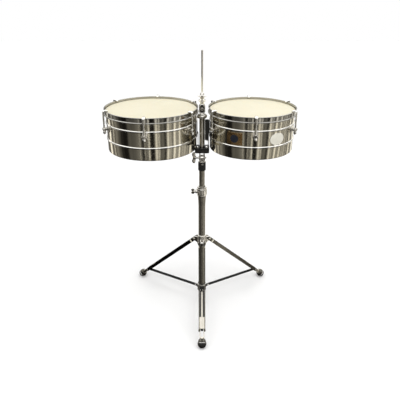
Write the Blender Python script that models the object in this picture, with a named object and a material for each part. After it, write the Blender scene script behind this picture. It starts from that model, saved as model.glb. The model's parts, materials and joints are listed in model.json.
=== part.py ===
"""Timbales: two open metal drums either side of a post, on a folding tripod stand.

Metres, +Z up.  The drummer stands at +Y and the audience is at -Y.  The origin is the
middle of the bounding box, on the floor.
"""
import math

import bmesh
import bpy
from mathutils import Matrix, Vector

# ---- clearances -------------------------------------------------------------------
GAP = 0.0003                # between pieces that touch
SLIDE_GAP = 0.0004          # round a tube or rod that slides
CLEARANCE = 0.0009          # between castings that stand side by side
CHAMFER = 0.0020            # broken edges of castings

# ---- drums ------------------------------------------------------------------------
RIM_TOP = 0.965             # playing height above the floor
LEFT_RADIUS = 0.1890        # shell outside, 15 inch head
RIGHT_RADIUS = 0.1765       # shell outside, 14 inch head
LEFT_STAND_OFF = 0.0235     # shell to post axis
RIGHT_STAND_OFF = 0.0335
SHELL_DEPTH = 0.1645
SHELL_WALL = 0.0015
HEAD_DROP = 0.0090          # playing surface below the rim
UPPER_BEAD = 0.1175         # bead heights above the shell's bottom edge
LOWER_BEAD = 0.0510
BEAD_PROUD = 0.0030
BEAD_HALF = 0.0055
SHELL_STEPS = 34
FILM = 0.0009               # head film
HOOP_HEIGHT = 0.0080        # flesh hoop of the head
RIM_HEIGHT = 0.0245
RIM_WALL = 0.0022
RIM_LIP = 0.0036            # how far both rim edges roll outwards
RIM_ROLL = 0.0040           # height of each rolled edge
HEAD_COLLAR = 0.0014        # film outside the shell
HEAD_TO_RIM = 0.0021        # head collar to the rim's inside
HOOP_PROUD = 0.0018         # hoop outside the head collar
HOOP_DROP = 0.0018          # film's edge to the rim's ledge
LUGS = 6
LEFT_LUG_ANGLE = -93.0      # one lug of each drum, degrees from +X
RIGHT_LUG_ANGLE = -91.0
HOOK_RADIUS = 0.0035
HOOK_SIDES = 6
HOOK_STAND = 0.0050         # hook outside the rim
LUG_HEIGHT = 0.0085
LUG_WIDTH = 0.0220
LUG_BELOW_RIM = 0.0665      # top of a lug below the rim's top
NUT_HEIGHT = 0.0140
NUT_RADIUS = 0.0065
HOOK_CLEAR = 0.0006         # hook to the rim it pulls on

# ---- drum mounting ----------------------------------------------------------------
BLOCK_SIZE = (0.0620, 0.0550, 0.0200)
BLOCK_BELOW_SHELL = 0.0040
BRACKET_PLATE = 0.0030
BRACKET_WIDTH = 0.0300
BRACKET_SHIFT = 0.0070      # bracket's middle behind the post axis
BRACKET_FOOT_WIDTH = 0.0500
BRACKET_TOP = 0.1090        # top of the bracket above the shell's bottom edge
BOLT_X = 0.0185
BOLT_Y = -0.0200
BOLT_RADIUS = 0.0048
BOLT_HEAD = 0.0065
POST_RADIUS = 0.0115
POST_WALL = 0.0015
POST_LENGTH = 0.1440
COLLAR_WALL = 0.0100        # collar outside the post
COLLAR_HEIGHT = 0.0180
COLLAR_LIP = 0.0030         # collar's top over the post's end

# ---- bell rod ---------------------------------------------------------------------
HOLDER_SIZE = (0.0260, 0.0200, 0.0430)
HOLDER_NECK = 0.0085
HOLDER_NUT = 0.0055
HOLDER_NUT_HEIGHT = 0.0040
FLANGE_RADIUS = 0.0155
FLANGE_THICK = 0.0075
NECK_RADIUS = 0.0090
NECK_HEIGHT = 0.0300
ROD_RADIUS = 0.0040
ROD_LENGTH = 0.3100
ROD_ABOVE_RIM = 0.2255
ROD_WING_ABOVE_FLANGE = 0.0190

# ---- tilter and mast --------------------------------------------------------------
TILT_BELOW_BLOCK = 0.0285   # tilt axis below the block's underside
EAR_RADIUS = 0.0140
EAR_THICK = 0.0060
TONGUE_THICK = 0.0120
CLEVIS_PLATE = 0.0040
TILT_BOLT = 0.0040
SOCKET_WALL = 0.0043        # socket outside the mast
SOCKET_HEIGHT = 0.0400
SOCKET_TOP_THICK = 0.0060
TILTER_DISC = 0.0025
MAST_RADIUS = 0.0127        # 1 inch tube
MAST_WALL = 0.0015
MAST_LENGTH = 0.4600
MAST_SHOWING = 0.0821       # mast between the socket and the base tube

# ---- base -------------------------------------------------------------------------
BASE_WALL = 0.0015          # 1 1/4 inch tube
BUSH_WALL = 0.0010
BUSH_LENGTH = 0.0700
BUSH_LIP = 0.0030
FLARE = 0.0021              # shoulder under the clamp, outside the tube
FLARE_LENGTH = 0.0480
CLAMP_BELOW_TOP = 0.0450
CLAMP_HEIGHT = 0.0490
CLAMP_WALL = 0.0076         # clamp outside the tube
CLAMP_BOSS = 0.0095
CLAMP_BOSS_REACH = 0.0065   # boss outside the clamp
LEG_COLLAR_HEIGHT = 0.0560
LEG_COLLAR_WALL = 0.0056
COLLAR_BELOW_PIVOT = 0.0290
PIVOT_REACH = 0.0135        # leg pivots outside their collar
PIVOT_HEIGHT = 0.3270
LUG_HALF = 0.0105           # leg collar lug, half its width
LUG_END = 0.0085
FOOT_REACH = 0.3650         # foot centres from the mast axis
FOOT_RADIUS = 0.0190
FOOT_FLAT = 0.0012          # how much of the ball's underside is flat
LEG_HEIGHT = 0.0160
LEG_STRIP = 0.0038
LEG_PLAY = 0.0017           # strip to the collar's lug
LEG_END_HALF = 0.0145
SHOULDER_PAST_BRACE = 0.0070    # where the strips step in
LEG_STEP = 0.0040
LEG_NECK_HALF = 0.0105
LEG_BLOCK = 0.0060          # solid end of a leg
BLOCK_TO_FOOT = 0.0030      # a leg's solid end to its foot
STEM_RADIUS = 0.0070
PIN_RADIUS = 0.0030
PIN_HEAD = 0.0055
PIN_HEAD_THICK = 0.0018
COLLAR_LUG = (0.0040, 0.0500)   # lug's foot on the leg collar, above its bottom edge
HUB_HEIGHT = 0.0380
HUB_BELOW_PIVOT = 0.0160
HUB_OVERHANG = 0.0020       # hub below the tube's end
HUB_WALL = 0.0051
HUB_LUG = (0.0030, 0.0240)
HUB_LUG_HALF = 0.0024
HUB_PIVOT_REACH = 0.0130    # brace pivots outside their hub
HUB_PIVOT_HEIGHT = 0.0580
BRACE_HEIGHT = 0.0078
BRACE_STRIP = 0.0022
BRACE_TO_LEG_END = 0.0342   # brace's outer pivot before the leg's solid end
LEG_AZIMUTHS = {"front": -90.0, "left": 150.0, "right": 30.0}

# ---- wing screws ------------------------------------------------------------------
WING_THICK = 0.0036
WING_HUB = 0.0075
WING_DEPTH = 0.0150
TILT_WING_SPAN = 0.0520
HEIGHT_WING_SPAN = 0.0440
ROD_WING_SPAN = 0.0360
HEIGHT_WING_TURN = 35.0     # degrees about its own axis

# ---- derived widths ---------------------------------------------------------------
LEFT_OFFSET = LEFT_RADIUS + LEFT_STAND_OFF      # drum axis to post axis
RIGHT_OFFSET = RIGHT_RADIUS + RIGHT_STAND_OFF
COLLAR_RADIUS = POST_RADIUS + COLLAR_WALL
SOCKET_RADIUS = MAST_RADIUS + SOCKET_WALL
BASE_RADIUS = MAST_RADIUS + SLIDE_GAP + BUSH_WALL + GAP + BASE_WALL
FLARE_RADIUS = BASE_RADIUS + FLARE
CLAMP_RADIUS = BASE_RADIUS + CLAMP_WALL
CLAMP_BOSS_END = CLAMP_RADIUS + CLAMP_BOSS_REACH
LEG_COLLAR_RADIUS = BASE_RADIUS + LEG_COLLAR_WALL
PIVOT_RADIUS = LEG_COLLAR_RADIUS + PIVOT_REACH
HUB_RADIUS = BASE_RADIUS + HUB_WALL
HUB_PIVOT_RADIUS = HUB_RADIUS + HUB_PIVOT_REACH
LEG_TOP_HALF = LUG_HALF + LEG_PLAY + LEG_STRIP
BRACE_HALF = HUB_LUG_HALF + SLIDE_GAP + BRACE_STRIP

# ---- derived heights and lengths --------------------------------------------------
SHELL_TOP = RIM_TOP - HEAD_DROP - FILM - GAP
SHELL_BOTTOM = SHELL_TOP - SHELL_DEPTH
BLOCK_TOP = SHELL_BOTTOM - BLOCK_BELOW_SHELL
BLOCK_BOTTOM = BLOCK_TOP - BLOCK_SIZE[2]
TILT_HEIGHT = BLOCK_BOTTOM - TILT_BELOW_BLOCK
DISC_TOP = TILT_HEIGHT - EAR_RADIUS - CLEARANCE
SOCKET_TOP = DISC_TOP - TILTER_DISC - GAP
SOCKET_BOTTOM = SOCKET_TOP - SOCKET_HEIGHT
MAST_TOP = SOCKET_TOP - SOCKET_TOP_THICK - GAP
BASE_TOP = SOCKET_BOTTOM - MAST_SHOWING
CLAMP_BOTTOM = BASE_TOP - CLAMP_BELOW_TOP
LEG_COLLAR_BOTTOM = PIVOT_HEIGHT - COLLAR_BELOW_PIVOT
HUB_BOTTOM = HUB_PIVOT_HEIGHT - HUB_BELOW_PIVOT
BASE_BOTTOM = HUB_BOTTOM + HUB_OVERHANG
POST_BOTTOM = BLOCK_TOP + GAP
POST_TOP = POST_BOTTOM + POST_LENGTH
COLLAR_TOP = POST_TOP + GAP + COLLAR_LIP
COLLAR_BOTTOM = COLLAR_TOP - COLLAR_HEIGHT
HOLDER_BOTTOM = COLLAR_TOP + GAP
HOLDER_TOP = HOLDER_BOTTOM + HOLDER_SIZE[2]
FLANGE_BOTTOM = HOLDER_TOP + HOLDER_NECK
FLANGE_TOP = FLANGE_BOTTOM + FLANGE_THICK
ROD_WING_HEIGHT = FLANGE_TOP + ROD_WING_ABOVE_FLANGE
FOOT_CENTRE = FOOT_RADIUS - FOOT_FLAT
LEG_SLOPE = math.atan2(PIVOT_HEIGHT - FOOT_CENTRE, FOOT_REACH - PIVOT_RADIUS)
LEG_LENGTH = math.hypot(PIVOT_HEIGHT - FOOT_CENTRE, FOOT_REACH - PIVOT_RADIUS)
LEG_FORK_END = LEG_LENGTH - FOOT_RADIUS - BLOCK_TO_FOOT
BRACE_ON_LEG = LEG_FORK_END - BRACE_TO_LEG_END
LEG_SHOULDER = BRACE_ON_LEG + SHOULDER_PAST_BRACE
BRACE_END_R = PIVOT_RADIUS + BRACE_ON_LEG * math.cos(LEG_SLOPE)
BRACE_END_Z = PIVOT_HEIGHT - BRACE_ON_LEG * math.sin(LEG_SLOPE)
BRACE_LENGTH = math.hypot(BRACE_END_R - HUB_PIVOT_RADIUS, BRACE_END_Z - HUB_PIVOT_HEIGHT)
BRACE_RISE = math.atan2(BRACE_END_Z - HUB_PIVOT_HEIGHT, BRACE_END_R - HUB_PIVOT_RADIUS)
CLAMP_SCREW_HEIGHT = CLAMP_BOTTOM + CLAMP_HEIGHT / 2

MATERIALS = {
    "shell_steel": ((0.30, 0.28, 0.25), 0.32, 1.0),
    "chrome": ((0.80, 0.80, 0.80), 0.10, 1.0),
    "tube_chrome": ((0.42, 0.41, 0.39), 0.15, 1.0),
    "dark_metal": ((0.05, 0.05, 0.05), 0.35, 1.0),
    "black_paint": ((0.02, 0.02, 0.02), 0.45, 0.0),
    "head_film": ((0.90, 0.86, 0.70), 0.45, 0.0),
    "rubber": ((0.03, 0.03, 0.03), 0.75, 0.0),
    "nylon": ((0.10, 0.10, 0.10), 0.55, 0.0),
}


# ---- helpers ----------------------------------------------------------------------
def clear_scene():
    for old in list(bpy.data.objects):
        bpy.data.objects.remove(old, do_unlink=True)


def make_material(name):
    colour, roughness, metallic = MATERIALS[name]
    material = bpy.data.materials.new(name)
    material.use_nodes = True
    shader = material.node_tree.nodes["Principled BSDF"]
    shader.inputs["Base Color"].default_value = (*colour, 1.0)
    shader.inputs["Roughness"].default_value = roughness
    shader.inputs["Metallic"].default_value = metallic
    return material


def mesh_from(name, verts, faces):
    """A mesh with its faces turned outwards and its round faces shaded smooth."""
    mesh = bpy.data.meshes.new(name)
    work = bmesh.new()
    corners = [work.verts.new(v) for v in verts]
    for face in faces:
        work.faces.new([corners[i] for i in face])
    bmesh.ops.recalc_face_normals(work, faces=work.faces)
    work.to_mesh(mesh)
    work.free()
    mesh.shade_smooth()
    mesh.set_sharp_from_angle(angle=math.radians(32))
    return mesh


def lathe(name, profile, steps):
    """Turn a closed (radius, height) outline about Z; points at radius 0 close it."""
    verts, rings = [], []
    for radius, height in profile:
        if radius < 1e-9:
            rings.append([len(verts)] * steps)
            verts.append((0.0, 0.0, height))
            continue
        rings.append(list(range(len(verts), len(verts) + steps)))
        for k in range(steps):
            turn = 2 * math.pi * k / steps
            verts.append((radius * math.cos(turn), radius * math.sin(turn), height))
    faces = []
    for here, there in zip(rings, rings[1:] + rings[:1]):
        if here[0] == here[1] and there[0] == there[1]:
            continue
        for k in range(steps):
            n = (k + 1) % steps
            corner = [here[k], here[n], there[n], there[k]]
            faces.append(list(dict.fromkeys(corner)))
    return mesh_from(name, verts, faces)


def prism(name, outline, low, high, axis):
    """Extrude an outline, given in the other two axes, from low to high along an axis."""
    order = {"X": (2, 0, 1), "Y": (0, 2, 1), "Z": (0, 1, 2)}[axis]
    verts = []
    for level in (low, high):
        for a, b in outline:
            trio = (a, b, level)
            verts.append(tuple(trio[i] for i in order))
    count = len(outline)
    faces = [list(range(count)), list(range(count, 2 * count))]
    for k in range(count):
        n = (k + 1) % count
        faces.append([k, n, n + count, k + count])
    return mesh_from(name, verts, faces)


def box(name, low, high):
    outline = [(low[0], low[1]), (high[0], low[1]), (high[0], high[1]), (low[0], high[1])]
    return prism(name, outline, low[2], high[2], "Z")


def arc(centre, radius, start, end, steps):
    """Points of an arc, both ends included; angles in degrees."""
    points = []
    for k in range(steps + 1):
        turn = math.radians(start + (end - start) * k / steps)
        points.append((centre[0] + radius * math.cos(turn), centre[1] + radius * math.sin(turn)))
    return points


def sweep(name, path, radius, sides):
    """A round bar along a path that lies in one plane of X and Z."""
    verts, faces = [], []
    path = [Vector((x, 0.0, z)) for x, z in path]
    side = Vector((0.0, 1.0, 0.0))
    for k, point in enumerate(path):
        before = path[max(k - 1, 0)]
        after = path[min(k + 1, len(path) - 1)]
        along = (after - before).normalized()
        across = along.cross(side)
        for s in range(sides):
            turn = 2 * math.pi * s / sides
            verts.append(point + radius * (math.cos(turn) * side + math.sin(turn) * across))
    for k in range(len(path) - 1):
        for s in range(sides):
            n = (s + 1) % sides
            faces.append([k * sides + s, k * sides + n, (k + 1) * sides + n, (k + 1) * sides + s])
    faces.append(list(range(sides)))
    faces.append(list(range(len(verts) - sides, len(verts))))
    return mesh_from(name, verts, faces)


def cylinder(name, radius, low, high, axis, steps=16):
    mesh = lathe(name, [(0, low), (radius, low), (radius, high), (0, high)], steps)
    if axis == "X":
        mesh.transform(Matrix.Rotation(math.radians(90), 4, "Y"))
    if axis == "Y":
        mesh.transform(Matrix.Rotation(math.radians(-90), 4, "X"))
    return mesh


def tube_profile(outer, inner, low, high):
    return [(outer, low), (outer, high), (inner, high), (inner, low)]


def empty(name, parent, world):
    holder = bpy.data.objects.new(name, None)
    bpy.context.scene.collection.objects.link(holder)
    holder.empty_display_size = 0.03
    holder["place"] = list(world)
    settle(holder, parent, world)
    return holder


def settle(thing, parent, world):
    """Put a thing at a place given from the mast's foot, under its parent."""
    thing.parent = parent
    base = Vector(parent["place"]) if parent else Vector((0, 0, 0))
    thing.location = Vector(world) - base


def piece(name, mesh, material, parent, world=(0, 0, 0), turn=(0, 0, 0)):
    body = bpy.data.objects.new(name, mesh)
    bpy.context.scene.collection.objects.link(body)
    mesh.materials.clear()
    mesh.materials.append(material)
    settle(body, parent, world)
    body.rotation_euler = [math.radians(a) for a in turn]
    return body


def combine(body, mesh, how):
    """Join to, or cut from, a body a mesh given in the body's own coordinates."""
    helper = bpy.data.objects.new(mesh.name + "_shape", mesh)
    bpy.context.scene.collection.objects.link(helper)
    helper.parent = body
    helper.hide_render = True
    helper.display_type = "WIRE"
    step = body.modifiers.new(mesh.name, "BOOLEAN")
    step.object = helper
    step.operation = how
    step.solver = "EXACT"


# ---- drums ------------------------------------------------------------------------
def shell_mesh(name, radius):
    """A thin shell with two raised beads, pressed out from inside, and a curled foot."""
    outside = [(radius, 0.0)]
    for height in (LOWER_BEAD, UPPER_BEAD):
        outside.append((radius, height - BEAD_HALF))
        outside.append((radius + BEAD_PROUD, height - BEAD_HALF / 3))
        outside.append((radius + BEAD_PROUD, height + BEAD_HALF / 3))
        outside.append((radius, height + BEAD_HALF))
    outside.append((radius, SHELL_DEPTH))
    inside = [(r - SHELL_WALL, z) for r, z in reversed(outside)]
    return lathe(name, outside + inside, SHELL_STEPS)


def lug_mesh(name, radius, hook_at, angle):
    """A lug: a tab that stands out of the shell, bored for its hook."""
    end = hook_at + NUT_RADIUS
    half = LUG_WIDTH / 2
    flat = radius * math.cos(math.pi / SHELL_STEPS)
    start = flat - SHELL_WALL / 4
    outline = [(start, -half)]
    outline += arc((end - half, 0.0), half, -90, 90, 4)
    outline.append((start, half))
    high = RIM_TOP - LUG_BELOW_RIM - SHELL_BOTTOM
    mesh = prism(name, outline, high - LUG_HEIGHT, high, "Z")
    mesh.transform(Matrix.Rotation(math.radians(angle), 4, "Z"))
    return mesh


def lug_bore(name, hook_at, angle):
    high = RIM_TOP - LUG_BELOW_RIM - SHELL_BOTTOM
    mesh = cylinder(name, HOOK_RADIUS + GAP, high - 2 * LUG_HEIGHT, high + LUG_HEIGHT, "Z", 8)
    mesh.transform(Matrix.Translation((hook_at, 0, 0)))
    mesh.transform(Matrix.Rotation(math.radians(angle), 4, "Z"))
    return mesh


def rim_inside(radius):
    return radius + HEAD_COLLAR + HEAD_TO_RIM


def rim_mesh(name, radius):
    """A counterhoop: upright band, both edges rolled outwards, a ledge on the head's hoop."""
    inner = rim_inside(radius)
    outer = inner + RIM_WALL
    lip = outer + RIM_LIP
    ledge = radius + HEAD_COLLAR + HOOK_CLEAR
    ledge_top = -HEAD_DROP - FILM - HOOP_DROP
    ledge_low = ledge_top - RIM_WALL
    edge = RIM_ROLL / 4
    band = RIM_ROLL + edge
    profile = [
        (inner, -edge), (inner + edge, 0.0), (lip - edge, 0.0), (lip, -RIM_ROLL / 2),
        (lip - edge, -RIM_ROLL), (outer, -band), (outer, band - RIM_HEIGHT),
        (lip - edge, RIM_ROLL - RIM_HEIGHT), (lip, RIM_ROLL / 2 - RIM_HEIGHT),
        (lip - edge, -RIM_HEIGHT), (inner, -RIM_HEIGHT), (inner, ledge_low),
        (ledge, ledge_low), (ledge, ledge_top), (inner, ledge_top),
    ]
    return lathe(name, profile, SHELL_STEPS), lip


def head_mesh(name, radius):
    """A film over the shell's edge, turned down outside it into a flesh hoop."""
    collar = radius + HEAD_COLLAR
    hoop = collar + HOOP_PROUD
    hoop_top = -FILM - HOOP_DROP - RIM_WALL - GAP
    hoop_low = hoop_top - HOOP_HEIGHT
    edge = radius - HOOP_DROP
    profile = [
        (0.0, 0.0), (edge, 0.0), (collar, -FILM), (collar, hoop_top), (hoop, hoop_top),
        (hoop, hoop_low), (radius + GAP, hoop_low), (radius + GAP, -FILM - GAP / 2),
        (edge, -FILM), (0.0, -FILM),
    ]
    return lathe(name, profile, SHELL_STEPS)


def hook_mesh(name, hook_at, rim_inner):
    """A hook: a straight rod with its top bent in over the rim and turned down behind it."""
    top = HOOK_CLEAR + HOOK_RADIUS
    bend = HOOK_RADIUS * 1.6
    low = -LUG_BELOW_RIM - LUG_HEIGHT - NUT_HEIGHT - HOOK_RADIUS
    flat = rim_inner * math.cos(math.pi / SHELL_STEPS)
    reach = flat - HOOK_RADIUS * math.cos(math.pi / HOOK_SIDES) - GAP - hook_at
    path = [(0.0, low), (0.0, top - bend)]
    path += arc((-bend, top - bend), bend, 30, 90, 2)
    path += arc((reach + bend, top - bend), bend, 90, 180, 3)
    path.append((reach, -HEAD_DROP + HOOK_RADIUS))
    return sweep(name, path, HOOK_RADIUS, HOOK_SIDES)


def nut_mesh(name):
    low = -LUG_BELOW_RIM - LUG_HEIGHT - GAP - NUT_HEIGHT
    bore = (HOOK_RADIUS + GAP) / math.cos(math.pi / 6)
    profile = [
        (NUT_RADIUS * 0.8, low), (NUT_RADIUS, low + NUT_HEIGHT / 5),
        (NUT_RADIUS, low + NUT_HEIGHT), (bore, low + NUT_HEIGHT), (bore, low),
    ]
    return lathe(name, profile, 6)


def build_drum(side, centre_x, radius, first_lug, tilt, materials):
    """One drum: shell with lugs, head, rim, hooks and their nuts."""
    rim, rim_outer = rim_mesh(side + "_rim", radius)
    hook_at = rim_outer + HOOK_RADIUS + HOOK_STAND
    shell = piece(side + "_shell", shell_mesh(side + "_shell", radius), materials["shell_steel"],
                  tilt, (centre_x, 0, SHELL_BOTTOM))
    piece(side + "_head", head_mesh(side + "_head", radius), materials["head_film"], tilt,
          (centre_x, 0, RIM_TOP - HEAD_DROP))
    piece(side + "_rim", rim, materials["chrome"], tilt, (centre_x, 0, RIM_TOP))
    for k in range(LUGS):
        angle = first_lug + 360.0 / LUGS * k
        tag = f"{side}_{k + 1}"
        turn = math.radians(angle)
        place = (centre_x + hook_at * math.cos(turn), hook_at * math.sin(turn), RIM_TOP)
        combine(shell, lug_mesh("lug_" + tag, radius, hook_at, angle), "UNION")
        combine(shell, lug_bore("bore_" + tag, hook_at, angle), "DIFFERENCE")
        piece("tuning_hook_" + tag, hook_mesh("hook_" + tag, hook_at, rim_inside(radius)),
              materials["chrome"], tilt, place, (0, 0, angle))
        piece("tuning_nut_" + tag, nut_mesh("nut_" + tag), materials["chrome"], tilt, place,
              (0, 0, angle))


def build_bracket(side, direction, shell_x, tilt, materials):
    """A bent strip from the shell's inner side down to a foot bolted on the block."""
    start = shell_x - direction * CLEARANCE
    back = start - direction * BRACKET_PLATE
    step = direction * (BEAD_PROUD + CLEARANCE)
    top = SHELL_BOTTOM + BRACKET_TOP
    bend = SHELL_BOTTOM + LOWER_BEAD + 2 * BEAD_HALF
    low_bend = bend - BEAD_HALF
    foot_low = BLOCK_TOP + GAP
    foot_top = foot_low + BRACKET_PLATE
    outline = [
        (start, top), (back, top), (back, bend), (back - step, low_bend), (back - step, foot_low),
        (start - step, foot_low), (start - step, low_bend), (start, bend),
    ]
    mesh = prism(side + "_bracket", outline, BRACKET_SHIFT - BRACKET_WIDTH / 2,
                 BRACKET_SHIFT + BRACKET_WIDTH / 2, "Y")
    body = piece(side + "_shell_bracket", mesh, materials["dark_metal"], tilt, (0, 0, 0))
    near = POST_RADIUS + CLEARANCE
    far = BLOCK_SIZE[0] / 2
    low_x, high_x = sorted((direction * near, direction * far))
    foot = box(side + "_foot", (low_x, -BRACKET_FOOT_WIDTH / 2, foot_low),
               (high_x, BRACKET_FOOT_WIDTH / 2, foot_top))
    combine(body, foot, "UNION")
    bolt = lathe(side + "_bolt", [
        (0, 0), (BOLT_RADIUS, 0), (BOLT_RADIUS, BOLT_HEAD * 0.8), (BOLT_RADIUS * 0.8, BOLT_HEAD),
        (0, BOLT_HEAD)], 6)
    piece(side + "_mount_bolt", bolt, materials["chrome"], tilt,
          (direction * BOLT_X, BOLT_Y, foot_top + GAP))


# ---- wing screws ------------------------------------------------------------------
def wing_screw_mesh(name, stem_radius, stem_length):
    """Hub and stem about X: the stem points to +X and the wings are behind its shoulder."""
    profile = [
        (0, -WING_DEPTH), (WING_HUB * 0.7, -WING_DEPTH), (WING_HUB, -WING_DEPTH * 0.75),
        (WING_HUB, 0), (stem_radius, 0), (stem_radius, stem_length), (0, stem_length)]
    mesh = lathe(name, profile, 12)
    mesh.transform(Matrix.Rotation(math.radians(90), 4, "Y"))
    return mesh


def wings_mesh(name, span):
    """Both wings as one plate in X and Z, wider and rounded at their tips."""
    tip = WING_DEPTH * 0.42
    reach = span / 2 - tip
    middle = -WING_DEPTH * 0.72
    outline = [(middle - tip * 0.5, 0.0)]
    outline += arc((middle, reach), tip, 160, 10, 4)
    outline.append((middle + tip * 0.9, 0.0))
    outline += arc((middle, -reach), tip, -10, -160, 4)
    return prism(name, outline, -WING_THICK / 2, WING_THICK / 2, "Y")


def wing_screw(name, span, stem_radius, stem_length, material, parent, world, turn):
    body = piece(name, wing_screw_mesh(name, stem_radius, stem_length), material, parent, world, turn)
    combine(body, wings_mesh(name + "_wings", span), "UNION")
    return body


# ---- yoke, tilter and rod ---------------------------------------------------------
def build_yoke(tilt, materials):
    half = [size / 2 for size in BLOCK_SIZE]
    block = box("yoke_block", (-half[0], -half[1], BLOCK_BOTTOM), (half[0], half[1], BLOCK_TOP))
    body = piece("yoke_block", block, materials["dark_metal"], tilt, (0, 0, 0))
    edge = body.modifiers.new("edges", "BEVEL")
    edge.width = CHAMFER
    edge.segments = 1
    post = lathe("center_post", tube_profile(POST_RADIUS, POST_RADIUS - POST_WALL, POST_BOTTOM, POST_TOP), 16)
    piece("center_post", post, materials["tube_chrome"], tilt)
    bore = POST_RADIUS + GAP
    rod_bore = ROD_RADIUS + SLIDE_GAP
    collar = [
        (COLLAR_RADIUS * 0.86, COLLAR_BOTTOM), (COLLAR_RADIUS, COLLAR_BOTTOM + COLLAR_HEIGHT / 4),
        (COLLAR_RADIUS, COLLAR_TOP - COLLAR_HEIGHT / 4), (COLLAR_RADIUS * 0.8, COLLAR_TOP),
        (rod_bore, COLLAR_TOP), (rod_bore, POST_TOP + GAP), (bore, POST_TOP + GAP),
        (bore, COLLAR_BOTTOM)]
    piece("post_collar", lathe("post_collar", collar, 20), materials["chrome"], tilt)


def build_clevis(tilt, materials):
    """The tilter's upper half: a plate under the block with two ears down to the tilt axis."""
    top = TILT_BELOW_BLOCK - GAP
    inner = TONGUE_THICK / 2 + GAP
    outer = inner + EAR_THICK
    plate = box("tilter_clevis", (-SOCKET_RADIUS, -EAR_RADIUS, top - CLEVIS_PLATE),
                (SOCKET_RADIUS, EAR_RADIUS, top))
    body = piece("tilter_clevis", plate, materials["chrome"], tilt, (0, 0, TILT_HEIGHT))
    outline = [(EAR_RADIUS, top - CLEVIS_PLATE / 2), (-EAR_RADIUS, top - CLEVIS_PLATE / 2)]
    outline += arc((0, 0), EAR_RADIUS, 180, 360, 10)
    combine(body, prism("ear_near", outline, -outer, -inner, "X"), "UNION")
    combine(body, prism("ear_far", outline, inner, outer, "X"), "UNION")
    bore = cylinder("clevis_bore", TILT_BOLT + SLIDE_GAP, -2 * outer, 2 * outer, "X", 12)
    combine(body, bore, "DIFFERENCE")


def build_tilter(swivel, materials):
    """The tilter's lower half: a tongue on a disc, over the socket that caps the mast."""
    disc = cylinder("tilter_base", SOCKET_RADIUS, DISC_TOP - TILTER_DISC, DISC_TOP, "Z", 18)
    body = piece("tilter_base", disc, materials["chrome"], swivel)
    radius = EAR_RADIUS - GAP
    outline = [(-radius, DISC_TOP - TILTER_DISC / 2), (radius, DISC_TOP - TILTER_DISC / 2)]
    outline += arc((0, TILT_HEIGHT), radius, 0, 180, 10)
    combine(body, prism("tongue", outline, -TONGUE_THICK / 2, TONGUE_THICK / 2, "X"), "UNION")
    bore = cylinder("tongue_bore", TILT_BOLT + SLIDE_GAP, -TONGUE_THICK, TONGUE_THICK, "X", 12)
    bore.transform(Matrix.Translation((0, 0, TILT_HEIGHT)))
    combine(body, bore, "DIFFERENCE")
    inner = MAST_RADIUS + GAP
    profile = [
        (SOCKET_RADIUS - CHAMFER / 2, SOCKET_BOTTOM), (SOCKET_RADIUS, SOCKET_BOTTOM + CHAMFER),
        (SOCKET_RADIUS, SOCKET_TOP), (0, SOCKET_TOP), (0, SOCKET_TOP - SOCKET_TOP_THICK),
        (inner, SOCKET_TOP - SOCKET_TOP_THICK), (inner, SOCKET_BOTTOM)]
    piece("swivel_socket", lathe("swivel_socket", profile, 18), materials["dark_metal"], swivel)


def build_holder(tilt, materials):
    """An oval casting, a neck, a flange and a clamp neck, all bored for the bell rod."""
    half_x, half_y = HOLDER_SIZE[0] / 2, HOLDER_SIZE[1] / 2
    low, high = HOLDER_BOTTOM + half_x, HOLDER_TOP - half_x
    outline = arc((0, high), half_x, 0, 180, 8) + arc((0, low), half_x, 180, 360, 8)
    body = piece("rod_holder", prism("rod_holder", outline, -half_y, half_y, "Y"),
                 materials["chrome"], tilt)
    neck_top = FLANGE_TOP + NECK_HEIGHT
    stem = [
        (0, high), (NECK_RADIUS, high), (NECK_RADIUS, FLANGE_BOTTOM), (FLANGE_RADIUS, FLANGE_BOTTOM),
        (FLANGE_RADIUS, FLANGE_TOP), (NECK_RADIUS, FLANGE_TOP), (NECK_RADIUS, neck_top - CHAMFER),
        (NECK_RADIUS - CHAMFER, neck_top), (0, neck_top)]
    combine(body, lathe("holder_stem", stem, 16), "UNION")
    nut = cylinder("holder_nut", HOLDER_NUT, -half_y - HOLDER_NUT_HEIGHT, -half_y / 2, "Y", 6)
    nut.transform(Matrix.Translation((0, 0, (high + low) / 2)))
    combine(body, nut, "UNION")
    rod_bore = cylinder("rod_bore", ROD_RADIUS + SLIDE_GAP, HOLDER_BOTTOM - HOLDER_NECK,
                        neck_top + HOLDER_NECK, "Z", 12)
    combine(body, rod_bore, "DIFFERENCE")
    screw_bore = cylinder("screw_bore", PIN_RADIUS + SLIDE_GAP, -2 * NECK_RADIUS, 0.0, "Y", 12)
    screw_bore.transform(Matrix.Translation((0, 0, ROD_WING_HEIGHT)))
    combine(body, screw_bore, "DIFFERENCE")


def build_rod(slide, materials):
    top = RIM_TOP + ROD_ABOVE_RIM
    mesh = cylinder("bell_rod", ROD_RADIUS, top - ROD_LENGTH, top, "Z", 12)
    piece("bell_rod", mesh, materials["chrome"], slide)


# ---- mast and base ----------------------------------------------------------------
def build_mast(mast, materials):
    profile = tube_profile(MAST_RADIUS, MAST_RADIUS - MAST_WALL, MAST_TOP - MAST_LENGTH, MAST_TOP)
    piece("upper_tube", lathe("upper_tube", profile, 16), materials["tube_chrome"], mast)


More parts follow.
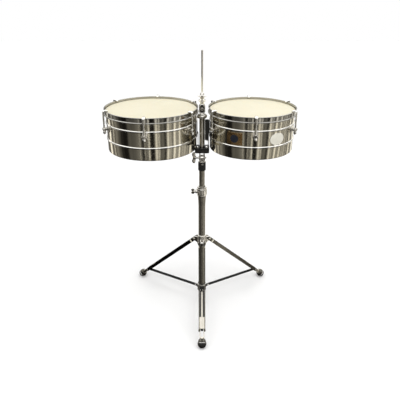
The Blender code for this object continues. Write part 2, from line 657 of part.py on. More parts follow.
def build_base(root, materials):
    """Base tube with its flared shoulder, the bush inside its mouth and the height clamp."""
    inner = BASE_RADIUS - BASE_WALL
    shoulder = CLAMP_BOTTOM - GAP
    tube = [
        (BASE_RADIUS, BASE_BOTTOM), (BASE_RADIUS, shoulder - FLARE_LENGTH), (FLARE_RADIUS, shoulder),
        (BASE_RADIUS, shoulder), (BASE_RADIUS, BASE_TOP), (inner, BASE_TOP), (inner, BASE_BOTTOM)]
    piece("base_tube", lathe("base_tube", tube, 18), materials["tube_chrome"], root)
    bush_out, bush_in = inner - GAP, MAST_RADIUS + SLIDE_GAP
    lip_low = BASE_TOP + GAP
    bush = [
        (bush_out, BASE_TOP - BUSH_LENGTH), (bush_out, lip_low), (BASE_RADIUS, lip_low),
        (BASE_RADIUS, lip_low + BUSH_LIP), (bush_in, lip_low + BUSH_LIP),
        (bush_in, BASE_TOP - BUSH_LENGTH)]
    piece("tube_bush", lathe("tube_bush", bush, 18), materials["nylon"], root)
    bore = BASE_RADIUS + GAP
    clamp_top = CLAMP_BOTTOM + CLAMP_HEIGHT
    waist = CLAMP_RADIUS - CHAMFER
    clamp = [
        (bore, CLAMP_BOTTOM), (waist, CLAMP_BOTTOM), (waist, CLAMP_BOTTOM + CLAMP_HEIGHT / 6),
        (CLAMP_RADIUS, CLAMP_BOTTOM + CLAMP_HEIGHT / 3), (CLAMP_RADIUS, clamp_top - CLAMP_HEIGHT / 6),
        (waist, clamp_top), (bore, clamp_top)]
    body = piece("height_clamp", lathe("height_clamp", clamp, 18), materials["chrome"], root)
    boss = cylinder("clamp_boss", CLAMP_BOSS, -CLAMP_BOSS_END, -(CLAMP_RADIUS + bore) / 2, "X", 16)
    boss.transform(Matrix.Translation((0, 0, CLAMP_SCREW_HEIGHT)))
    combine(body, boss, "UNION")
    screw = cylinder("clamp_bore", TILT_BOLT + SLIDE_GAP, -2 * CLAMP_BOSS_END, 0, "X", 12)
    screw.transform(Matrix.Translation((0, 0, CLAMP_SCREW_HEIGHT)))
    combine(body, screw, "DIFFERENCE")


def lug_outline(pivot_r, pivot_z, end, root_r, root_low, root_high):
    """A lug in the plane of radius and height, from a ring's wall to its round end."""
    outline = [(root_r, root_low)]
    outline += arc((pivot_r, pivot_z), end, -70, 70, 6)
    outline.append((root_r, root_high))
    return outline


def build_ring_with_lugs(name, ring, lug, half, pivot_r, pivot_z, material, parent):
    """A ring on the base tube with one bored lug for each leg."""
    centre = (0, 0, pivot_z)
    mesh = lathe(name, [(r, z - pivot_z) for r, z in ring], 18)
    body = piece(name, mesh, material, parent, centre)
    for side, azimuth in LEG_AZIMUTHS.items():
        turn = Matrix.Rotation(math.radians(azimuth), 4, "Z")
        arm = prism(f"{name}_lug_{side}", [(r, z - pivot_z) for r, z in lug], -half, half, "Y")
        arm.transform(turn)
        combine(body, arm, "UNION")
        bore = cylinder(f"{name}_bore_{side}", PIN_RADIUS + SLIDE_GAP, -2 * half, 2 * half, "Y", 10)
        bore.transform(Matrix.Translation((pivot_r, 0, 0)))
        bore.transform(turn)
        combine(body, bore, "DIFFERENCE")
    return body


def pin_mesh(name, half):
    """A rivet across Y with a flat head outside each strip."""
    outline = [
        (0, -half - PIN_HEAD_THICK), (PIN_HEAD, -half - PIN_HEAD_THICK), (PIN_HEAD, -half + GAP),
        (PIN_RADIUS, -half + GAP), (PIN_RADIUS, half - GAP), (PIN_HEAD, half - GAP),
        (PIN_HEAD, half + PIN_HEAD_THICK), (0, half + PIN_HEAD_THICK)]
    mesh = lathe(name, outline, 10)
    mesh.transform(Matrix.Rotation(math.radians(90), 4, "X"))
    return mesh


def fork_mesh(name, outside, strip, solid, height):
    """Two strips side by side, given by one side's outline, joined at the far end."""
    end, half = outside[-1]
    inside = [(x, y - strip) for x, y in outside[:-1]] + [(end - solid, half - strip)]
    side = list(reversed(outside)) + inside
    outline = side + [(x, -y) for x, y in reversed(side)]
    return prism(name, outline, -height / 2, height / 2, "Z")


def build_leg(side, azimuth, pivot, materials):
    turn = math.radians(azimuth)
    place = (PIVOT_RADIUS * math.cos(turn), PIVOT_RADIUS * math.sin(turn), PIVOT_HEIGHT)
    outside = [
        (-LUG_END, LEG_TOP_HALF), (LEG_SHOULDER, LEG_END_HALF),
        (LEG_SHOULDER + LEG_STEP, LEG_NECK_HALF), (LEG_FORK_END, LEG_NECK_HALF)]
    mesh = fork_mesh("leg_" + side, outside, LEG_STRIP, LEG_BLOCK, LEG_HEIGHT)
    tilt_down = math.degrees(LEG_SLOPE)
    body = piece("leg_" + side, mesh, materials["tube_chrome"], pivot, place, (0, tilt_down, azimuth))
    combine(body, pin_mesh("leg_pin_" + side, LEG_TOP_HALF), "UNION")
    stem = cylinder("leg_stem_" + side, STEM_RADIUS, LEG_FORK_END - LEG_BLOCK / 2, LEG_LENGTH, "X", 12)
    combine(body, stem, "UNION")


def build_foot(side, azimuth, pivot, materials):
    """A rubber ball, flat where it stands, bored for the leg's stem."""
    turn = math.radians(azimuth)
    place = (FOOT_REACH * math.cos(turn), FOOT_REACH * math.sin(turn), FOOT_CENTRE)
    cut = math.degrees(math.acos(FOOT_CENTRE / FOOT_RADIUS))
    round_side = arc((0, 0), FOOT_RADIUS, -90 + cut, 80, 8)
    profile = [(0, -FOOT_CENTRE)] + round_side + [(0, round_side[-1][1])]
    body = piece("foot_" + side, lathe("foot_" + side, profile, 14), materials["rubber"], pivot, place,
                 (0, 0, azimuth))
    bore = cylinder("foot_bore_" + side, STEM_RADIUS + GAP, -LEG_LENGTH / 6, GAP, "X", 14)
    bore.transform(Matrix.Rotation(LEG_SLOPE, 4, "Y"))
    combine(body, bore, "DIFFERENCE")


def build_brace(side, azimuth, pivot, materials):
    turn = math.radians(azimuth)
    place = (HUB_PIVOT_RADIUS * math.cos(turn), HUB_PIVOT_RADIUS * math.sin(turn), HUB_PIVOT_HEIGHT)
    end = BRACE_HEIGHT / 2
    outside = [(-end, BRACE_HALF), (BRACE_LENGTH + end, BRACE_HALF)]
    mesh = fork_mesh("brace_" + side, outside, BRACE_STRIP, 2 * BRACE_HEIGHT, BRACE_HEIGHT)
    rise = -math.degrees(BRACE_RISE)
    body = piece("brace_" + side, mesh, materials["black_paint"], pivot, place, (0, rise, azimuth))
    combine(body, pin_mesh("brace_pin_" + side, BRACE_HALF), "UNION")


def build_tripod(root, hub, materials):
    collar_top = LEG_COLLAR_BOTTOM + LEG_COLLAR_HEIGHT
    inner = BASE_RADIUS + GAP
    lug = lug_outline(PIVOT_RADIUS, PIVOT_HEIGHT, LUG_END, (inner + LEG_COLLAR_RADIUS) / 2,
                      *(LEG_COLLAR_BOTTOM + height for height in COLLAR_LUG))
    ring = tube_profile(LEG_COLLAR_RADIUS, inner, LEG_COLLAR_BOTTOM, collar_top)
    build_ring_with_lugs("leg_collar", ring, lug, LUG_HALF, PIVOT_RADIUS, PIVOT_HEIGHT,
                         materials["chrome"], root)
    hub_inner = BASE_RADIUS + SLIDE_GAP
    hub_lug = lug_outline(HUB_PIVOT_RADIUS, HUB_PIVOT_HEIGHT, BRACE_HEIGHT / 2,
                          (hub_inner + HUB_RADIUS) / 2, *(HUB_BOTTOM + height for height in HUB_LUG))
    ring = tube_profile(HUB_RADIUS, hub_inner, HUB_BOTTOM, HUB_BOTTOM + HUB_HEIGHT)
    build_ring_with_lugs("brace_hub", ring, hub_lug, HUB_LUG_HALF, HUB_PIVOT_RADIUS,
                         HUB_PIVOT_HEIGHT, materials["dark_metal"], hub)
    for side, azimuth in LEG_AZIMUTHS.items():
        turn = math.radians(azimuth)
        out = Vector((math.cos(turn), math.sin(turn), 0))
        leg_axis = empty("axis_leg_" + side, root, out * PIVOT_RADIUS + Vector((0, 0, PIVOT_HEIGHT)))
        build_leg(side, azimuth, leg_axis, materials)
        build_foot(side, azimuth, leg_axis, materials)
        brace_axis = empty("axis_brace_" + side, hub,
                           out * HUB_PIVOT_RADIUS + Vector((0, 0, HUB_PIVOT_HEIGHT)))
        build_brace(side, azimuth, brace_axis, materials)


def stand_on_origin(root):
    """Move everything so that the origin is the bounding box's bottom middle."""
    bpy.context.view_layer.update()
    graph = bpy.context.evaluated_depsgraph_get()
    low = Vector((math.inf,) * 3)
    high = Vector((-math.inf,) * 3)
    for thing in bpy.context.scene.objects:
        if thing.type != "MESH" or thing.hide_render:
            continue
        solid = thing.evaluated_get(graph)
        for vert in solid.data.vertices:
            point = solid.matrix_world @ vert.co
            low = Vector(map(min, low, point))
            high = Vector(map(max, high, point))
    root.location = (-(low.x + high.x) / 2, -(low.y + high.y) / 2, -low.z)
    bpy.context.view_layer.update()


def main():
    clear_scene()
    materials = {name: make_material(name) for name in MATERIALS}
    root = empty("stand", None, (0, 0, 0))
    hub = empty("axis_hub", root, (0, 0, HUB_PIVOT_HEIGHT))
    mast = empty("axis_height", root, (0, 0, BASE_TOP))
    swivel = empty("axis_swivel", mast, (0, 0, SOCKET_TOP))
    tilt = empty("axis_tilt", swivel, (0, 0, TILT_HEIGHT))
    rod = empty("axis_rod", tilt, (0, 0, RIM_TOP))
    build_base(root, materials)
    build_tripod(root, hub, materials)
    build_mast(mast, materials)
    build_tilter(swivel, materials)
    build_clevis(tilt, materials)
    build_yoke(tilt, materials)
    build_holder(tilt, materials)
    build_rod(rod, materials)
    build_drum("left", -LEFT_OFFSET, LEFT_RADIUS, LEFT_LUG_ANGLE, tilt, materials)
    build_drum("right", RIGHT_OFFSET, RIGHT_RADIUS, RIGHT_LUG_ANGLE, tilt, materials)
    build_bracket("left", -1, -LEFT_OFFSET + LEFT_RADIUS, tilt, materials)
    build_bracket("right", 1, RIGHT_OFFSET - RIGHT_RADIUS, tilt, materials)
    shoulder = TONGUE_THICK / 2 + EAR_THICK + CLEARANCE
    tilt_hub = SOCKET_RADIUS + CLEARANCE
    wing_screw("tilt_wing_screw", TILT_WING_SPAN, TILT_BOLT, 2 * tilt_hub + shoulder / 2,
               materials["chrome"], tilt, (-tilt_hub - WING_DEPTH / 2, 0, TILT_HEIGHT), (0, 0, 0))
    wing_screw("height_wing_screw", HEIGHT_WING_SPAN, TILT_BOLT, CLAMP_BOSS_END - BASE_RADIUS,
               materials["chrome"], root, (-CLAMP_BOSS_END - 2 * GAP, 0, CLAMP_SCREW_HEIGHT),
               (HEIGHT_WING_TURN, 0, 0))
    rod_hub = NECK_RADIUS + WING_HUB / 2
    wing_screw("rod_wing_screw", ROD_WING_SPAN, PIN_RADIUS, rod_hub - ROD_RADIUS - CLEARANCE,
               materials["chrome"], tilt, (0, -rod_hub, ROD_WING_HEIGHT), (90, 0, 90))
    stand_on_origin(root)


main()
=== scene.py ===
"""The looks of the timbales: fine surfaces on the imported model, lights and camera."""
import json
from collections import namedtuple
from math import atan2, cos, dist, pi, radians, sin, sqrt

import bmesh
import bpy
from mathutils import Matrix, Vector


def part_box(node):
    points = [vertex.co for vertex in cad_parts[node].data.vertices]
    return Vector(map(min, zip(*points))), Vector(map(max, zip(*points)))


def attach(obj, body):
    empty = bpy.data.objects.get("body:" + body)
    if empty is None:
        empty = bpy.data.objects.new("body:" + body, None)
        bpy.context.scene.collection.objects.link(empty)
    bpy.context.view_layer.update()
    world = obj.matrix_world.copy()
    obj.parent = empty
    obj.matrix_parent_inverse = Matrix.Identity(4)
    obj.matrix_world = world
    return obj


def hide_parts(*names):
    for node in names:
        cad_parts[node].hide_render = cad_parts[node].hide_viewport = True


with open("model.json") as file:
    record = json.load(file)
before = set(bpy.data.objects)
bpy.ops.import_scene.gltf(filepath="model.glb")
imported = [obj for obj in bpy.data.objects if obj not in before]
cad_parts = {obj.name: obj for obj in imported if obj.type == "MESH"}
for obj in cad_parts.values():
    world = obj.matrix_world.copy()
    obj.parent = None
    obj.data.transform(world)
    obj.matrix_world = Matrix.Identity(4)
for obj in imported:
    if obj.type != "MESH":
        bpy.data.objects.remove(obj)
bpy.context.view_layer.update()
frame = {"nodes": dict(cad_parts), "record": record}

JOINTS = {joint["name"]: joint for joint in frame["record"]["behaviour"]["joints"]}
SIDES = ("left", "right")
LEGS = ("front", "left", "right")
LUGS = 6
UP = Vector((0, 0, 1))
NOWHERE = Matrix.Identity(4)  # leaves a part where it was drawn


def at(x, y, z):
    return Matrix.Translation((x, y, z))


def spin(degrees, axis):
    return Matrix.Rotation(radians(degrees), 4, axis)


# ---- places read from the frame ----
def centre_of(node):
    low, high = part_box(node)
    return (low + high) / 2


POST = centre_of("bell_rod")
MAST_X, MAST_Y = POST.x, POST.y


def joint_place(name):
    return Vector(JOINTS[name]["pos_m"])


def on_mast(height):
    """A place on the stand's own axis."""
    return at(MAST_X, MAST_Y, height)


# ---- mesh helpers ----
def new_object(name, data):
    thing = bpy.data.objects.new(name, data)
    bpy.context.scene.collection.objects.link(thing)
    return thing


def new_piece(name, work, material, body, node=None, sharp=35):
    """Turn a bmesh into a piece that rides on a body and may stand for a CAD node."""
    mesh = bpy.data.meshes.new(name)
    bmesh.ops.recalc_face_normals(work, faces=work.faces)
    work.to_mesh(mesh)
    work.free()
    mesh.shade_smooth()
    mesh.set_sharp_from_angle(angle=radians(sharp))
    mesh.materials.append(material)
    thing = new_object(name, mesh)
    if node:
        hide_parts(node)
    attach(thing, body)


def add_lathe(work, profile, steps, place):
    """Turn a (radius, height) outline about Z; a point at radius 0 closes it on the axis."""
    rings = []
    for radius, height in profile:
        if radius < 1e-7:
            rings.append([work.verts.new(place @ Vector((0, 0, height)))] * steps)
            continue
        ring = []
        for k in range(steps):
            turn = 2 * pi * k / steps
            point = Vector((radius * cos(turn), radius * sin(turn), height))
            ring.append(work.verts.new(place @ point))
        rings.append(ring)
    for here, there in zip(rings, rings[1:] + rings[:1]):
        if here[0] is here[1] and there[0] is there[1]:
            continue
        for k in range(steps):
            n = (k + 1) % steps
            corners = list(dict.fromkeys([here[k], here[n], there[n], there[k]]))
            work.faces.new(corners)


def turned(profile, steps, place):
    """A fresh mesh with one turned outline in it."""
    work = bmesh.new()
    add_lathe(work, profile, steps, place)
    return work


def arc(centre, radius, start, end, steps):
    """Points along a circle between two angles in degrees."""
    points = []
    for k in range(steps + 1):
        turn = radians(start + (end - start) * k / steps)
        points.append((centre[0] + radius * cos(turn), centre[1] + radius * sin(turn)))
    return points


def add_prism(work, outline, low, high, place=NOWHERE, bevel=0.0, segments=3):
    """Extrude an outline in X and Z from low to high along Y, with its long edges rounded."""
    part = bmesh.new()
    rings = []
    for level in (low, high):
        rings.append([part.verts.new(Vector((x, level, z))) for x, z in outline])
    caps = [part.faces.new(rings[0]), part.faces.new(rings[1])]
    count = len(outline)
    for k in range(count):
        n = (k + 1) % count
        part.faces.new([rings[0][k], rings[0][n], rings[1][n], rings[1][k]])
    if bevel > 0:
        edges = list({edge for cap in caps for edge in cap.edges})
        bmesh.ops.bevel(part, geom=edges, offset=bevel, segments=segments, affect="EDGES")
    merge(work, part, place)


def add_box(work, low, high, place=NOWHERE, bevel=0.0, segments=3):
    part = bmesh.new()
    bmesh.ops.create_cube(part, size=1.0)
    size = Vector(high) - Vector(low)
    middle = (Vector(high) + Vector(low)) / 2
    bmesh.ops.transform(part, matrix=Matrix.Translation(middle) @ Matrix.Diagonal((*size, 1)),
                        verts=part.verts)
    if bevel > 0:
        bmesh.ops.bevel(part, geom=part.edges[:], offset=bevel, segments=segments, affect="EDGES")
    merge(work, part, place)


def merge(work, part, place):
    """Copy a part's mesh into a piece's mesh at a place, and free the part."""
    copies = {}
    for vert in part.verts:
        copies[vert] = work.verts.new(place @ vert.co)
    for face in part.faces:
        work.faces.new([copies[v] for v in face.verts])
    part.free()


def add_loft(work, sections, place=NOWHERE):
    """Skin closed rings of points and cap both ends with a point."""
    rings = [[work.verts.new(place @ Vector(p)) for p in ring] for ring in sections]
    count = len(rings[0])
    for here, there in zip(rings, rings[1:]):
        for k in range(count):
            n = (k + 1) % count
            work.faces.new([here[k], here[n], there[n], there[k]])
    for ring in (rings[0], rings[-1]):
        tip = work.verts.new(sum((v.co for v in ring), Vector()) / count)
        for k in range(count):
            work.faces.new([ring[k], ring[(k + 1) % count], tip])


def add_bar(work, path, sizes, sides, place):
    """A bar with domed ends along a path in X and Z; sizes are its half width and thickness."""
    points = [Vector((x, 0, z)) for x, z in path]
    frames = []
    for k, (point, size) in enumerate(zip(points, sizes)):
        along = (points[min(k + 1, len(points) - 1)] - points[max(k - 1, 0)]).normalized()
        frames.append((point, along, size, 1.0))
    first, last = frames[0], frames[-1]
    ends = [(0.0, 0.3), (0.35, 0.75), (0.8, 0.97)]  # how far in and how wide, from the tip
    start = [(first[0] - first[1] * min(first[2]) * (1 - a), first[1], first[2], b) for a, b in ends]
    finish = [(last[0] + last[1] * min(last[2]) * (1 - a), last[1], last[2], b) for a, b in reversed(ends)]
    across = Vector((0, 1, 0))
    sections = []
    for point, along, (wide, thick), share in start + frames + finish:
        normal = along.cross(across)
        ring = []
        for s in range(sides):
            turn = 2 * pi * s / sides
            ring.append(point + share * (wide * cos(turn) * across + thick * sin(turn) * normal))
        sections.append(ring)
    add_loft(work, sections, place)


def add_rod(work, start, end, radius, place, sides=8):
    """A straight round bar with slightly pointed ends."""
    direction = end - start
    turn = direction.to_track_quat("Z", "Y").to_matrix().to_4x4()
    long, point = direction.length, radius * 0.4
    profile = [(0, -point), (radius, 0), (radius, long), (0, long + point)]
    add_lathe(work, profile, sides, place @ Matrix.Translation(start) @ turn)


def along_frame(origin, direction, flat):
    """Local X along a direction, local Y along a level axis, local Z the third."""
    x = direction.normalized()
    y = flat.normalized()
    z = x.cross(y)
    turn = Matrix((x, y, z)).transposed().to_4x4()
    return Matrix.Translation(origin) @ turn


X_TO_Z = spin(90, "Y")
Z_TO_MINUS_Y = spin(90, "X")


# ---- materials ----
def node_material(name):
    material = bpy.data.materials.new(name)
    material.use_nodes = True
    tree = material.node_tree
    return material, tree, tree.nodes["Principled BSDF"]


def noise_of(tree, scale, stretch=(1, 1, 1), detail=4.0, rough=0.6):
    """Noise in object space, stretched per axis."""
    place = tree.nodes.new("ShaderNodeTexCoord")
    mapping = tree.nodes.new("ShaderNodeMapping")
    mapping.inputs["Scale"].default_value = stretch
    noise = tree.nodes.new("ShaderNodeTexNoise")
    noise.inputs["Scale"].default_value = scale
    noise.inputs["Detail"].default_value = detail
    noise.inputs["Roughness"].default_value = rough
    tree.links.new(place.outputs["Object"], mapping.inputs["Vector"])
    tree.links.new(mapping.outputs["Vector"], noise.inputs["Vector"])
    return noise.outputs["Fac"]


def ramp_of(tree, source, stops):
    ramp = tree.nodes.new("ShaderNodeValToRGB")
    elements = ramp.color_ramp.elements
    elements[0].position, elements[0].color = stops[0][0], (*stops[0][1], 1)
    elements[1].position, elements[1].color = stops[1][0], (*stops[1][1], 1)
    for position, colour in stops[2:]:
        elements.new(position).color = (*colour, 1)
    tree.links.new(source, ramp.inputs["Fac"])
    return ramp.outputs["Color"]


def range_of(tree, source, low, high):
    spread = tree.nodes.new("ShaderNodeMapRange")
    spread.inputs["To Min"].default_value = low
    spread.inputs["To Max"].default_value = high
    tree.links.new(source, spread.inputs["Value"])
    return spread.outputs["Result"]


def bump_of(tree, shader, source, strength, distance):
    bump = tree.nodes.new("ShaderNodeBump")
    bump.inputs["Strength"].default_value = strength
    bump.inputs["Distance"].default_value = distance
    tree.links.new(source, bump.inputs["Height"])
    tree.links.new(bump.outputs["Normal"], shader.inputs["Normal"])


def metal(name, dark, light, rough, patch=18.0, grain=900.0, stretch=(1, 1, 1), bump=0.05):
    """A metal with cloudy colour and roughness and a fine grain, stretched if it is brushed."""
    material, tree, shader = node_material(name)
    shader.inputs["Metallic"].default_value = 1.0
    cloud = noise_of(tree, patch)
    colour = ramp_of(tree, cloud, [(0.3, dark), (0.7, light)])
    tree.links.new(colour, shader.inputs["Base Color"])
    fine = noise_of(tree, grain, stretch, 2.0)
    tree.links.new(range_of(tree, fine, rough[0], rough[1]), shader.inputs["Roughness"])
    bump_of(tree, shader, fine, bump, 0.0003)
    return material


def coating(name, dark, light, rough, grain, bump, depth=0.0004, patch=25.0, gloss=0.3):
    """Paint, rubber, nylon or film: mottled colour, uneven gloss and a fine surface."""
    material, tree, shader = node_material(name)
    shader.inputs["Specular IOR Level"].default_value = gloss
    colour = ramp_of(tree, noise_of(tree, patch), [(0.3, dark), (0.7, light)])
    tree.links.new(colour, shader.inputs["Base Color"])
    fine = noise_of(tree, grain, detail=3.0)
    tree.links.new(range_of(tree, fine, rough[0], rough[1]), shader.inputs["Roughness"])
    bump_of(tree, shader, fine, bump, depth)
    return material


def film_material():
    """Cream polyester film, coated on top: a soft sheen, faint mottling, slightly see-through."""
    material = coating("film", (0.66, 0.615, 0.455), (0.7, 0.655, 0.5), (0.38, 0.5),
                       1400, 0.08, 0.0002, 9.0)
    shader = material.node_tree.nodes["Principled BSDF"]
    shader.inputs["Subsurface Weight"].default_value = 0.15
    shader.inputs["Subsurface Radius"].default_value = (0.004, 0.003, 0.002)
    return material


BRUSH = (1, 1, 45)
MATERIALS = {
    "shell_steel": metal("brushed_shell", (0.5, 0.47, 0.39), (0.62, 0.59, 0.5), (0.07, 0.15),
                         patch=7.0, grain=30.0, stretch=BRUSH, bump=0.1),
    "bright_chrome": metal("bright_chrome", (0.72, 0.71, 0.68), (0.84, 0.83, 0.8), (0.05, 0.12)),
    "cast_chrome": metal("cast_chrome", (0.66, 0.64, 0.6), (0.8, 0.78, 0.74), (0.08, 0.2), grain=500.0,
                         bump=0.12),
    "tube_chrome": metal("tube_chrome", (0.28, 0.265, 0.23), (0.36, 0.34, 0.3), (0.08, 0.16), grain=60.0,
                         stretch=(1, 1, 12)),
    "dark_casting": coating("dark_casting", (0.008, 0.008, 0.008), (0.024, 0.023, 0.021), (0.28, 0.48),
                            900, 0.25),
    "black_paint": coating("black_paint", (0.004, 0.004, 0.004), (0.011, 0.011, 0.01), (0.22, 0.36), 700,
                           0.12, gloss=0.2),
    "head_film": film_material(),
    "rubber": coating("rubber", (0.006, 0.006, 0.005), (0.015, 0.014, 0.013), (0.45, 0.7), 1200, 0.35),
    "nylon": coating("nylon", (0.05, 0.05, 0.05), (0.08, 0.08, 0.08), (0.45, 0.6), 900, 0.1),
}
LEG_CHROME = metal("leg_chrome", (0.085, 0.08, 0.067), (0.125, 0.118, 0.1), (0.08, 0.18))
PLATE_CHROME = metal("plate_chrome", (0.44, 0.415, 0.36), (0.56, 0.53, 0.47), (0.1, 0.22))
CREAM = coating("cream_nylon", (0.6, 0.57, 0.46), (0.7, 0.67, 0.56), (0.35, 0.5), 900, 0.08)
POST_CHROME = metal("post_chrome", (0.6, 0.57, 0.52), (0.7, 0.67, 0.62), (0.06, 0.14))
RIM_CHROME = metal("rim_chrome", (0.36, 0.35, 0.32), (0.48, 0.47, 0.44), (0.05, 0.11), patch=9.0)
BRASS = metal("badge_brass", (0.5, 0.3, 0.12), (0.72, 0.5, 0.26), (0.18, 0.34), patch=60.0)
ENAMEL = coating("badge_enamel", (0.01, 0.012, 0.018), (0.02, 0.022, 0.03), (0.15, 0.3), 800, 0.05)
WHITE_ENAMEL = coating("plate_enamel", (0.62, 0.6, 0.52), (0.72, 0.7, 0.62), (0.2, 0.35), 800, 0.05)

SLOT_OF = {part["node"]: part["material_slot"] for part in frame["record"]["subparts"]}


def fine_piece(work, node, body, sharp=35, material=None):
    """The fine surface that stands for one CAD node."""
    slot = SLOT_OF[node]
    new_piece(node + "_fine", work, material or MATERIALS[slot], body, node, sharp)


def extra_piece(name, work, body, slot, material=None):
    """A piece that only the looks have."""
    new_piece(name, work, material or MATERIALS[slot], body, None)


# ---- drums ----
Drum = namedtuple("Drum", "centre radius rim_low rim_high bottom top")
DRUM_STEPS = 128
RIM_REACH = 0.0093  # rim's outer edge beyond the shell's outside
RIM_INSIDE = 0.0035  # rim's inner face beyond the shell's outside
RIM_WALL = 0.0022
RIM_TOP_ROLL = 0.0013  # radius of the upper rolled edge
RIM_LOW_ROLL = 0.0031  # radius of the lower rolled edge
RIM_LEDGE = (0.0118, 0.014)  # ledge on the flesh hoop, below the rim's top
SHELL_WALL = 0.0015
BEAD_PROUD = 0.003
BEAD_HALF = 0.0042
BEAD_HEIGHTS = (0.051, 0.1175)
BEAD_HIGHLIGHT_SKIN = 0.0002  # bead ring just outside the brushed shell: smoother, and lighter in colour as a painted highlight
CURL = 0.0012  # curled foot of the shell
FILM = 0.0009
HEAD_DROP = 0.009
HEAD_SHOULDER = 0.0013
HOOP_TALL = 0.008
HOOK_RADIUS = 0.0035
HOOK_TURN = 0.0056  # radius of the hook's bends
HOOK_CLEAR = 0.0006
CLAW = (0.0064, 0.0027)  # hook's claw, half its width and thickness
THREADS = 9
THREAD_PITCH = 0.0011
THREAD_PROUD = 0.00025
LUG_HEIGHT = 0.0085
LUG_HALF = 0.011
LUG_CORNER = 0.0045
NUT_ACROSS = 0.0063


def bead_profile(radius, middle):
    """One raised bead as a smooth swell of the shell's outside."""
    points = []
    for k in range(9):
        t = k / 8
        swell = BEAD_PROUD * sin(pi * t)
        points.append((radius + swell, middle - BEAD_HALF * cos(pi * t)))
    return points


def drum_facts(side):
    """Where a drum stands, read from its rim's and its shell's boxes."""
    rim = centre_of(side + "_rim")
    low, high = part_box(side + "_rim")
    shell_low, shell_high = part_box(side + "_shell")
    radius = (high.x - low.x) / 2 - RIM_REACH
    return Drum(Vector((rim.x, rim.y, 0)), radius, low.z, high.z, shell_low.z, shell_high.z)


def build_shell(side):
    """Brushed shell with a curled foot, and over its beads rings of smoother chrome whose lighter colour is a
    painted highlight.
    """
    drum = drum_facts(side)
    radius, tall = drum.radius, drum.top - drum.bottom
    place = Matrix.Translation(drum.centre + UP * drum.bottom)
    outside = arc((radius - CURL, CURL), CURL, -90, 0, 4)
    for height in BEAD_HEIGHTS:
        outside += bead_profile(radius, height)
    outside += [(radius, tall - 0.0008), (radius - 0.0005, tall)]
    inner, lip = radius - SHELL_WALL, radius - 3.2 * CURL
    inside = [(inner, tall)]
    for height in reversed(BEAD_HEIGHTS):
        inside += [(r - SHELL_WALL, z) for r, z in reversed(bead_profile(radius, height))]
    inside += [(inner, 3 * CURL), (lip, 2 * CURL), (lip, CURL)]
    fine_piece(turned(outside + inside, DRUM_STEPS, place), side + "_shell", "drums", 50)
    hidden = radius - SHELL_WALL / 2
    for number, height in enumerate(BEAD_HEIGHTS, 1):
        # each bead gets a ring of bright chrome, lighter than the shell: a painted highlight line along the
        # bead
        ring = [(r + BEAD_HIGHLIGHT_SKIN, z) for r, z in bead_profile(radius, height)]
        ring += [(hidden, height + BEAD_HALF), (hidden, height - BEAD_HALF)]
        extra_piece(f"{side}_bead_{number}", turned(ring, DRUM_STEPS, place), "drums", "bright_chrome")


def build_head(side):
    """The film: dead flat, with a rounded shoulder down outside the shell to its hoop."""
    drum = drum_facts(side)
    low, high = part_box(side + "_head")
    hoop = (high.x - low.x) / 2
    depth = high.z - low.z
    out, under = drum.radius + HEAD_SHOULDER, drum.radius + 0.0003
    edge = drum.radius - 0.004
    profile = [(0, 0), (drum.radius * 0.5, 0), (edge, 0)]
    profile += arc((out - HEAD_SHOULDER, -HEAD_SHOULDER), HEAD_SHOULDER, 90, 0, 5)
    profile += [(out, -depth + HOOP_TALL + 0.0002), (hoop, -depth + HOOP_TALL), (hoop, -depth),
                (under, -depth)]
    profile += [(under, -FILM - 0.0002), (edge, -FILM), (0, -FILM)]
    place = Matrix.Translation(drum.centre + UP * high.z)
    fine_piece(turned(profile, DRUM_STEPS, place), side + "_head", "drums", 40)


def build_rim(side):
    """The counterhoop: rolled upper edge, upright band, heavier rolled lower edge."""
    drum = drum_facts(side)
    tall = drum.rim_high - drum.rim_low
    inner = drum.radius + RIM_INSIDE
    outer = inner + RIM_WALL
    roll = RIM_LOW_ROLL
    ledge = drum.radius + 0.002
    profile = [(inner, -0.001)] + arc((inner + 0.001, -0.001), 0.001, 180, 90, 3)
    profile += arc((outer + 0.0006, -RIM_TOP_ROLL), RIM_TOP_ROLL, 90, -60, 6)
    profile += [(outer, -0.0034), (outer, -tall + 2.1 * roll)]
    profile += arc((drum.radius + RIM_REACH - roll, -tall + roll), roll, 100, -90, 10)
    profile += [(inner + 0.0008, -tall), (inner, -tall + 0.0008), (inner, -RIM_LEDGE[1]),
                (ledge, -RIM_LEDGE[1]), (ledge, -RIM_LEDGE[0]), (inner, -RIM_LEDGE[0])]
    place = Matrix.Translation(drum.centre + UP * drum.rim_high)
    fine_piece(turned(profile, DRUM_STEPS, place), side + "_rim", "drums", 40, RIM_CHROME)


def hook_frame(side, k):
    """Local X points out of the drum at this hook; the origin is on its rod at rim height."""
    drum = drum_facts(side)
    place = joint_place(f"tuning_nut_{side}_{k}_turn")
    out = Vector((place.x - drum.centre.x, place.y - drum.centre.y, 0))
    turn = Matrix.Rotation(atan2(out.y, out.x), 4, "Z")
    return at(place.x, place.y, drum.rim_high) @ turn, out.length, drum


